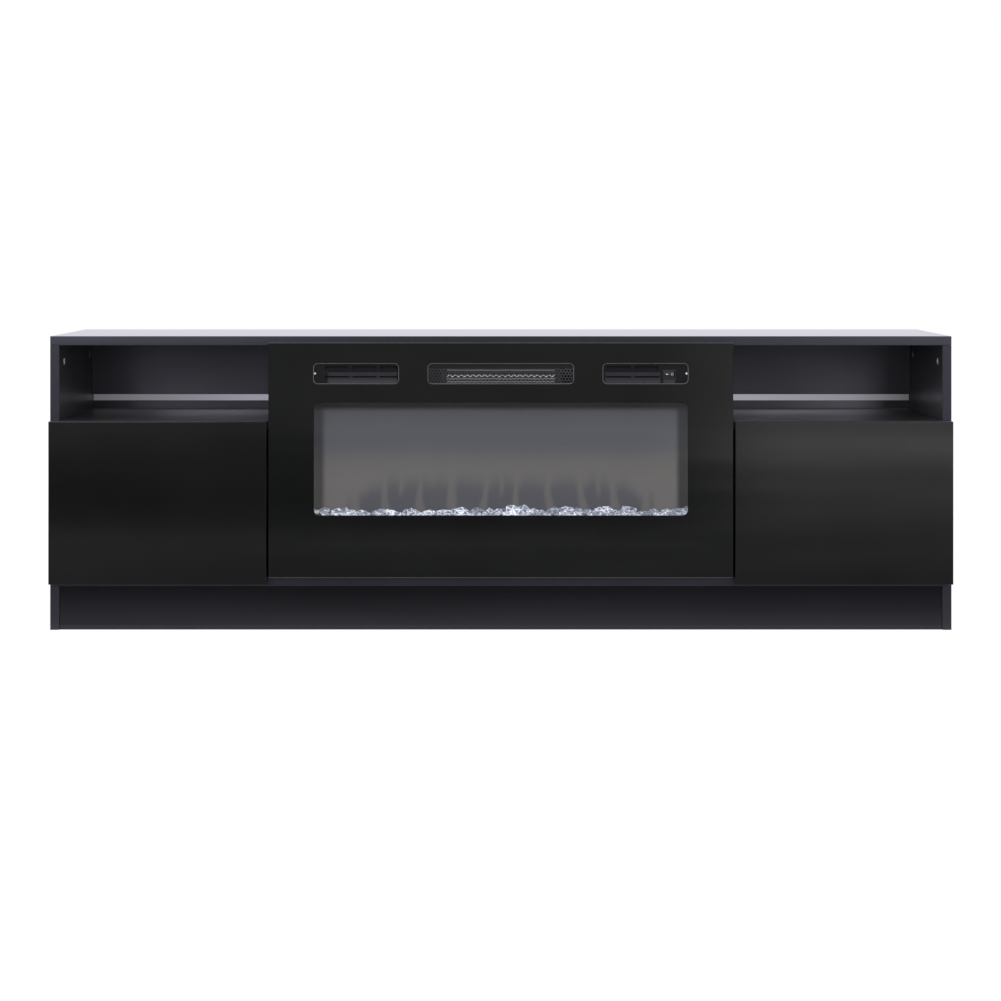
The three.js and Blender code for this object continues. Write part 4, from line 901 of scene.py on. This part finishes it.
bm = bmesh.new()
flat = Matrix.Diagonal((switchPlan["dashWide"], switchPlan["dashTall"], switchPlan["markDeep"], 1.0))
bmesh.ops.create_cube(bm, size=1.0, matrix=onFace(halves[0], switchPlan["dashMove"]) @ flat)
addPiece("rocker_dash_mark", bm, whiteMark, nodeBody("switch_rocker"))
bm = bmesh.new()
bmesh.ops.create_circle(bm, cap_ends=True, segments=switchPlan["ringSteps"], radius=switchPlan["ringRadius"],
                        matrix=onFace(halves[1], switchPlan["ringMove"]))
middle = bm.faces[:]
bmesh.ops.inset_region(bm, faces=middle, thickness=switchPlan["ringThick"], use_boundary=True,
                       use_even_offset=True)
bmesh.ops.delete(bm, geom=middle, context="FACES")
thicken(addPiece("rocker_ring_mark", bm, whiteMark, nodeBody("switch_rocker"), smooth=0.0),
        switchPlan["markDeep"])

# fittings: screws, cams, hinges and latches

print("fittings")

screwPlan = {"steps": 20, "arm": 0.95, "slot": 0.24, "sink": 0.45}


def turned(profile, steps):
    # spins a line of radius and height pairs round the Z axis
    bm = bmesh.new()
    line = [bm.verts.new((radius, 0.0, height)) for radius, height in profile]
    edges = [bm.edges.new(pair) for pair in zip(line, line[1:])]
    bmesh.ops.spin(bm, geom=line + edges, cent=(0.0, 0.0, 0.0), axis=(0.0, 0.0, 1.0), angle=math.tau,
                   steps=steps, use_merge=True)
    bmesh.ops.remove_doubles(bm, verts=bm.verts, dist=0.000005)
    bmesh.ops.recalc_face_normals(bm, faces=bm.faces)
    return bm


def standing(bm, point, normal):
    turn = Vector(normal).to_track_quat("Z", "Y").to_matrix().to_4x4()
    bmesh.ops.transform(bm, matrix=Matrix.Translation(point) @ turn, verts=bm.verts)
    return bm


def joined(parts):
    whole = bmesh.new()
    for part in parts:
        mesh = meshOf("part", part)
        whole.from_mesh(mesh)
        bpy.data.meshes.remove(mesh)
    return whole


def withCross(bm, radius, foot, head, arm=screwPlan["arm"], slot=screwPlan["slot"]):
    # cuts a cross recess down to the foot
    cutters = []
    for wide, tall in ((arm * radius / 2, slot * radius / 2), (slot * radius / 2, arm * radius / 2)):
        cutter = bmesh.new()
        boxInto(cutter, (-wide, -tall, foot), (wide, tall, head))
        cutters.append(cutter)
    return carved(bm, cutters)


def screwHead(radius, height, point, normal):
    domed = [(0.0, 0.0), (radius, 0.0), (radius, height * 0.25), (radius * 0.92, height * 0.58),
             (radius * 0.70, height * 0.86), (radius * 0.36, height * 0.97), (0.0, height)]
    head = withCross(turned(domed, screwPlan["steps"]), radius, height * screwPlan["sink"], height * 1.2)
    return standing(head, point, normal)


for side, _ in sides:
    node = "louvre_screw_" + side[:-1]
    low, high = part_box(node)
    middle = (low + high) / 2
    head = screwHead((high.x - low.x) / 2, high.y - low.y, (middle.x, high.y, middle.z), (0.0, -1.0, 0.0))
    # the screw heads take the painted glint
    addPiece(node + "_head", head, glintZinc, replaces=(node,), smooth=40.0)

camPlan = {"radius": 0.0074, "rim": 0.0005, "dish": 0.0045, "dishDeep": 0.0007, "armDeep": 0.0026,
           "proud": 0.0004, "steps": 32, "crossArm": 1.7, "crossSlot": 0.38}
for side, sign in sides:
    # the rear cams take the painted shade
    for place, finish in (("front", zincCam), ("rear", shadedZincCam)):
        node = side + "cam_lock_" + place
        low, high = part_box(node)
        middle = (low + high) / 2
        depth, radius, rim = high.x - low.x, camPlan["radius"], camPlan["rim"]
        dish, sink, proud = camPlan["dish"], camPlan["dishDeep"], camPlan["proud"]
        outline = [(0.0, -depth), (radius, -depth), (radius, proud - rim), (radius - rim, proud),
                   (dish + rim, proud), (dish, proud - sink), (0.0, proud - sink)]
        cam = withCross(turned(outline, camPlan["steps"]), dish, proud - camPlan["armDeep"], proud + rim,
                        camPlan["crossArm"], camPlan["crossSlot"])
        standing(cam, (sign * min(abs(low.x), abs(high.x)), middle.y, middle.z), (-sign, 0.0, 0.0))
        addPiece(node + "_head", cam, finish, replaces=(node,), smooth=40.0)

hingePlan = {"round": 0.0005, "cupRound": 0.0003, "plateScrew": 0.0034, "armScrew": 0.00272,
             "headTall": 0.0016, "plateX": 0.868, "armX": 0.858, "plateY": -0.127, "armYs": (-0.119, -0.152),
             "plateZs": (-0.0105, 0.0105)}
for side, sign in sides:
    for level in ("lower", "upper"):
        arm, cup = side + "hinge_arm_" + level, side + "hinge_cup_" + level
        low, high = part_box(arm)
        height = (low.z + high.z) / 2
        easedNode(arm, arm + "_steel", nickel, hingePlan["round"], 50.0)
        spots = [(hingePlan["plateScrew"], hingePlan["plateX"], hingePlan["plateY"], height + offset)
                 for offset in hingePlan["plateZs"]]
        spots += [(hingePlan["armScrew"], hingePlan["armX"], y, height) for y in hingePlan["armYs"]]
        heads = [screwHead(radius, hingePlan["headTall"], (sign * x, y, z), (-sign, 0.0, 0.0))
                 for radius, x, y, z in spots]
        addPiece(arm + "_screws", joined(heads), nickel, nodeBody(arm), smooth=40.0)
        easedNode(cup, cup + "_steel", nickel, hingePlan["cupRound"])
    for name in (side + "push_latch", side + "latch_plunger"):
        easedNode(name, name + "_moulding", blackPlastic, hingePlan["round"])
easedNode("switch_bezel", "switch_surround", blackPlastic, switchPlan["round"])

# screws in the back boards and round the housing's rear wall

backPlan = {"radius": 0.0034, "tall": 0.0011, "inset": 0.016, "housingY": -0.040,
            "housingX": (-0.43, -0.215, 0.0, 0.215, 0.43), "housingZ": (0.122, 0.520), "sideZ": (0.26, 0.40)}


def backHeads(spots, y):
    return [screwHead(backPlan["radius"], backPlan["tall"], (x, y, z), (0.0, 1.0, 0.0)) for x, z in spots]


for side, _ in sides:
    heads = []
    for board in ("upper_back", "lower_back"):
        low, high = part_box(side + board)
        inset = backPlan["inset"]
        spots = [(x, z) for x in (low.x + inset, (low.x + high.x) / 2, high.x - inset)
                 for z in (low.z + inset, high.z - inset)]
        heads += backHeads(spots, high.y)
    addPiece(side + "back_screws", joined(heads), nickel, smooth=40.0)
spots = [(x, z) for x in backPlan["housingX"] for z in backPlan["housingZ"]]
spots += [(x, z) for x in (backPlan["housingX"][0], backPlan["housingX"][-1]) for z in backPlan["sideZ"]]
addPiece("housing_screws", joined(backHeads(spots, backPlan["housingY"])), nickel, smooth=40.0)

# every other CAD node gets its finish

print("other parts")

finishOf = {
    "insert_housing": blackSteel, "front_pan": panSteel, "firebox_baffle": blackSteel,
    "heater_duct": ductSteel,
    "blower_scroll": blackSteel, "blower_rotor": aluminium, "blower_motor": nickel,
    "crystal_tray": blackSteel,
    "flame_screen": paintedGlowScreen, "flame_cutout": blackSteel, "flame_rotor": aluminium, "flame_motor": nickel,
    "led_strip": circuit, "control_board": circuit, "cord_gland": blackPlastic,
}
for node, finish in finishOf.items():
    nodes[node].data.materials.clear()
    nodes[node].data.materials.append(finish["material"])

# floor, studio end, slit cards, world, lamps and camera

print("studio")

studio = {
    "floorHalf": 14.0, "floorGlow": 0.93, "floorShade": (0.15, 0.15, 0.15), "bounce": (0.75, 0.75, 0.75),
    "roomAir": (0.78, 0.78, 0.78), "mirrorAir": (0.845, 0.845, 0.925), "seenAir": (1.0, 1.0, 1.0),
    "lampX": 1.75, "lampY": -3.4, "lampZ": 0.85, "lampWide": 1.7, "lampTall": 1.2, "lampPower": 28.0,
    "lampTint": (0.94, 0.94, 1.0), "lampTarget": (0.0, 0.0, 0.45),
}
# what the gloss fronts mirror, from the foot of the studio end upwards
endPlan = {
    "near": 0.21, "far": 5.2, "high": 3.4, "half": 5.0, "lift": 0.003, "reach": 8.0, "viewFar": 4.49,
    "leftGlow": (3.1, 3.1, 3.4), "rightGlow": (1.95, 1.95, 2.12),
    "left": [(0.02, 0.80), (0.05, 0.45), (0.085, 0.16), (0.19, 0.25), (0.25, 0.08), (0.32, 0.03),
             (0.45, 0.08), (0.60, 0.15), (0.70, 0.24), (1.0, 0.38)],
    "right": [(0.02, 0.80), (0.05, 0.45), (0.085, 0.16), (0.18, 0.26), (0.25, 0.36), (0.36, 0.58),
              (0.455, 0.64), (0.50, 1.00), (0.60, 1.20), (0.70, 0.50), (1.0, 0.42)],
}
# the slit cards' painted shade across x and their painted glow in gloss
cardPlan = {
    "place": (0.672, 0.21, 0.436), "half": (0.214, 0.011), "glow": 2.6, "span": (-0.87, 0.87),
    "tones": [(0.0, (0.112, 0.112, 0.122)), (0.068, (0.185, 0.185, 0.210)), (0.19, (0.295, 0.295, 0.350)),
              (0.80, (0.325, 0.325, 0.365)), (0.93, (0.255, 0.255, 0.290)), (1.0, (0.095, 0.095, 0.105))],
}
cameraPlan = {"place": (0.0112, -4.693, 0.7549), "lens": 82.2, "sensor": 36.0, "shift": (-0.0060, -0.2526),
              "clip": 60.0}


def stageFinish(name):
    material, shader, place = startFinish(name)
    tree = material.node_tree
    tree.nodes.remove(shader)
    return material, tree, place, tree.nodes["Material Output"]


def stageSheet(name, bm, material, hiddenFrom=()):
    mesh = meshOf(name, bm)
    mesh.materials.append(material)
    thing = linked(name, mesh)
    for ray in hiddenFrom:
        setattr(thing, "visible_" + ray, False)


def makeFloor():
    material, tree, _, output = stageFinish("studio_floor")
    rays = tree.nodes.new("ShaderNodeLightPath").outputs
    seen = larger(larger(rays["Is Camera Ray"], rays["Is Transmission Ray"]), rays["Is Glossy Ray"])
    glow = shaderOf(tree, "Emission", {"Strength": studio["floorGlow"]})
    shade = shaderOf(tree, "BsdfDiffuse", {"Color": studio["floorShade"]})
    bounce = shaderOf(tree, "BsdfDiffuse", {"Color": studio["bounce"]})
    both = newNode("AddShader", {0: glow, 1: shade}).outputs["Shader"]
    fill(output, {"Surface": mixShaders(seen, bounce, both)})
    bm = bmesh.new()
    bmesh.ops.create_grid(bm, x_segments=1, y_segments=1, size=studio["floorHalf"])
    stageSheet("studio_floor", bm, material)


def makeStudioEnd():
    # bright floor at the foot, then a dim room, lighter to the right
    material, tree, place, output = stageFinish("studio_end")
    axes = axesOf(place)
    reach = minus(axes["Z"], axes["Y"])
    step = mapped(reach, 0.0, endPlan["reach"], smooth=False)
    aside = reckon("DIVIDE", axes["X"], plus(reckon("DIVIDE", reach, endPlan["viewFar"]), 1.0))
    tone = blended(mapped(aside, 0.23, 0.58), rampOf(step, endPlan["left"]), rampOf(step, endPlan["right"]))
    drift = noiseAt(place, 1.0, 2.0, (0.9, 2.0, 2.0))
    tone = blended(1.0, tone, mapped(drift, 0.3, 0.7, 0.86, 1.14), "MULTIPLY")
    # two wide soft lights high up at the sides, and no hard end to the sheet
    wings = larger(mapped(axes["X"], -0.35, -1.8), mapped(axes["X"], 0.75, 1.75))
    lights = blended(mapped(axes["X"], -1.0, 1.0), endPlan["leftGlow"], endPlan["rightGlow"])
    tone = blended(times(mapped(axes["Z"], 0.40, 0.85), wings), tone, lights)
    rim = larger(mapped(axes["Z"], 1.15, 1.7), mapped(sizeOf(axes["X"]), 3.0, 4.6))
    tone = blended(rim, tone, studio["mirrorAir"])
    fill(output, {"Surface": shaderOf(tree, "Emission", {"Color": tone})})
    bm = bmesh.new()
    edge = bm.edges.new([bm.verts.new((sign * endPlan["half"], -endPlan["near"], endPlan["lift"]))
                         for sign in (-1, 1)])
    for move in ((0.0, endPlan["near"] - endPlan["far"], 0.0), (0.0, 0.0, endPlan["high"])):
        grown = bmesh.ops.extrude_edge_only(bm, edges=[edge])["geom"]
        bmesh.ops.translate(bm, vec=move, verts=[g for g in grown if isinstance(g, bmesh.types.BMVert)])
        edge = next(g for g in grown if isinstance(g, bmesh.types.BMEdge))
    stageSheet("studio_end", bm, material, ("camera", "diffuse", "shadow"))


def makeSlitCards():
    # painted light and shade: a glowing card stands in for the pale wall in shade seen through the cable
    # slits, from the front only, darker towards its ends, and stronger to gloss, a painted glow on the
    # shelves and sides
    material, tree, place, output = stageFinish("slit_card_painted_light")
    x = axesOf(place)["X"]
    shape = times(mapped(sizeOf(minus(x, 0.03)), 0.845, 0.715, 0.0, cardPlan["glow"]),
                  mapped(sizeOf(x), 0.46, 0.60, 0.50, 1.0))
    shape = larger(shape, mapped(x, -0.6, 0.6, 1.25, 0.30))
    glossy = tree.nodes.new("ShaderNodeLightPath").outputs["Is Glossy Ray"]
    glow = shaderOf(tree, "Emission", {
        "Color": rampOf(mapped(x, *cardPlan["span"], smooth=False), cardPlan["tones"]),
        "Strength": mapped(glossy, 0.0, 1.0, 1.0, shape, smooth=False)})
    behind = tree.nodes.new("ShaderNodeNewGeometry").outputs["Backfacing"]
    fill(output, {"Surface": mixShaders(behind, glow, shaderOf(tree, "BsdfTransparent", {}))})
    for side, sign in sides:
        bm = bmesh.new()
        x, y, z = cardPlan["place"]
        upright = Matrix.Translation((sign * x, y, z)) @ Matrix.Rotation(math.radians(90), 4, "X")
        bmesh.ops.create_grid(bm, x_segments=1, y_segments=1, size=1.0,
                              matrix=upright @ Matrix.Diagonal((*cardPlan["half"], 1.0, 1.0)))
        stageSheet(side + "slit_card_painted_light", bm, material, ("diffuse", "shadow", "transmission"))


def makeWorld():
    world = bpy.data.worlds.new("studio_air")
    bpy.context.scene.world = world
    world.use_nodes = True
    tree = world.node_tree
    tree.nodes.clear()
    rays = tree.nodes.new("ShaderNodeLightPath").outputs
    room, mirror, white = (shaderOf(tree, "Background", {"Color": studio[air]})
                           for air in ("roomAir", "mirrorAir", "seenAir"))
    seen = larger(rays["Is Camera Ray"], rays["Is Transmission Ray"])
    both = mixShaders(seen, mixShaders(rays["Is Glossy Ray"], room, mirror), white)
    fill(tree.nodes.new("ShaderNodeOutputWorld"), {"Surface": both})


def makeLamp(name, place, target):
    light = bpy.data.lights.new(name, "AREA")
    light.shape = "RECTANGLE"
    light.size = studio["lampWide"]
    light.size_y = studio["lampTall"]
    light.energy = studio["lampPower"]
    light.color = studio["lampTint"]
    lamp = linked(name, light)
    lamp.location = place
    lamp.visible_glossy = False
    lamp.rotation_euler = (Vector(target) - Vector(place)).to_track_quat("-Z", "Y").to_euler()


def makeCamera():
    view = bpy.data.cameras.new("photo_view")
    view.lens = cameraPlan["lens"]
    view.sensor_width = cameraPlan["sensor"]
    view.shift_x, view.shift_y = cameraPlan["shift"]
    view.clip_end = cameraPlan["clip"]
    camera = linked("photo_view", view)
    camera.location = cameraPlan["place"]
    camera.rotation_euler = (math.radians(90), 0.0, 0.0)
    bpy.context.scene.camera = camera


makeFloor()
makeStudioEnd()
makeSlitCards()
makeWorld()
for side, sign in sides:
    spot = (sign * studio["lampX"], studio["lampY"], studio["lampZ"])
    makeLamp(side + "softbox", spot, studio["lampTarget"])
makeCamera()
bpy.context.scene.view_settings.view_transform = "Standard"
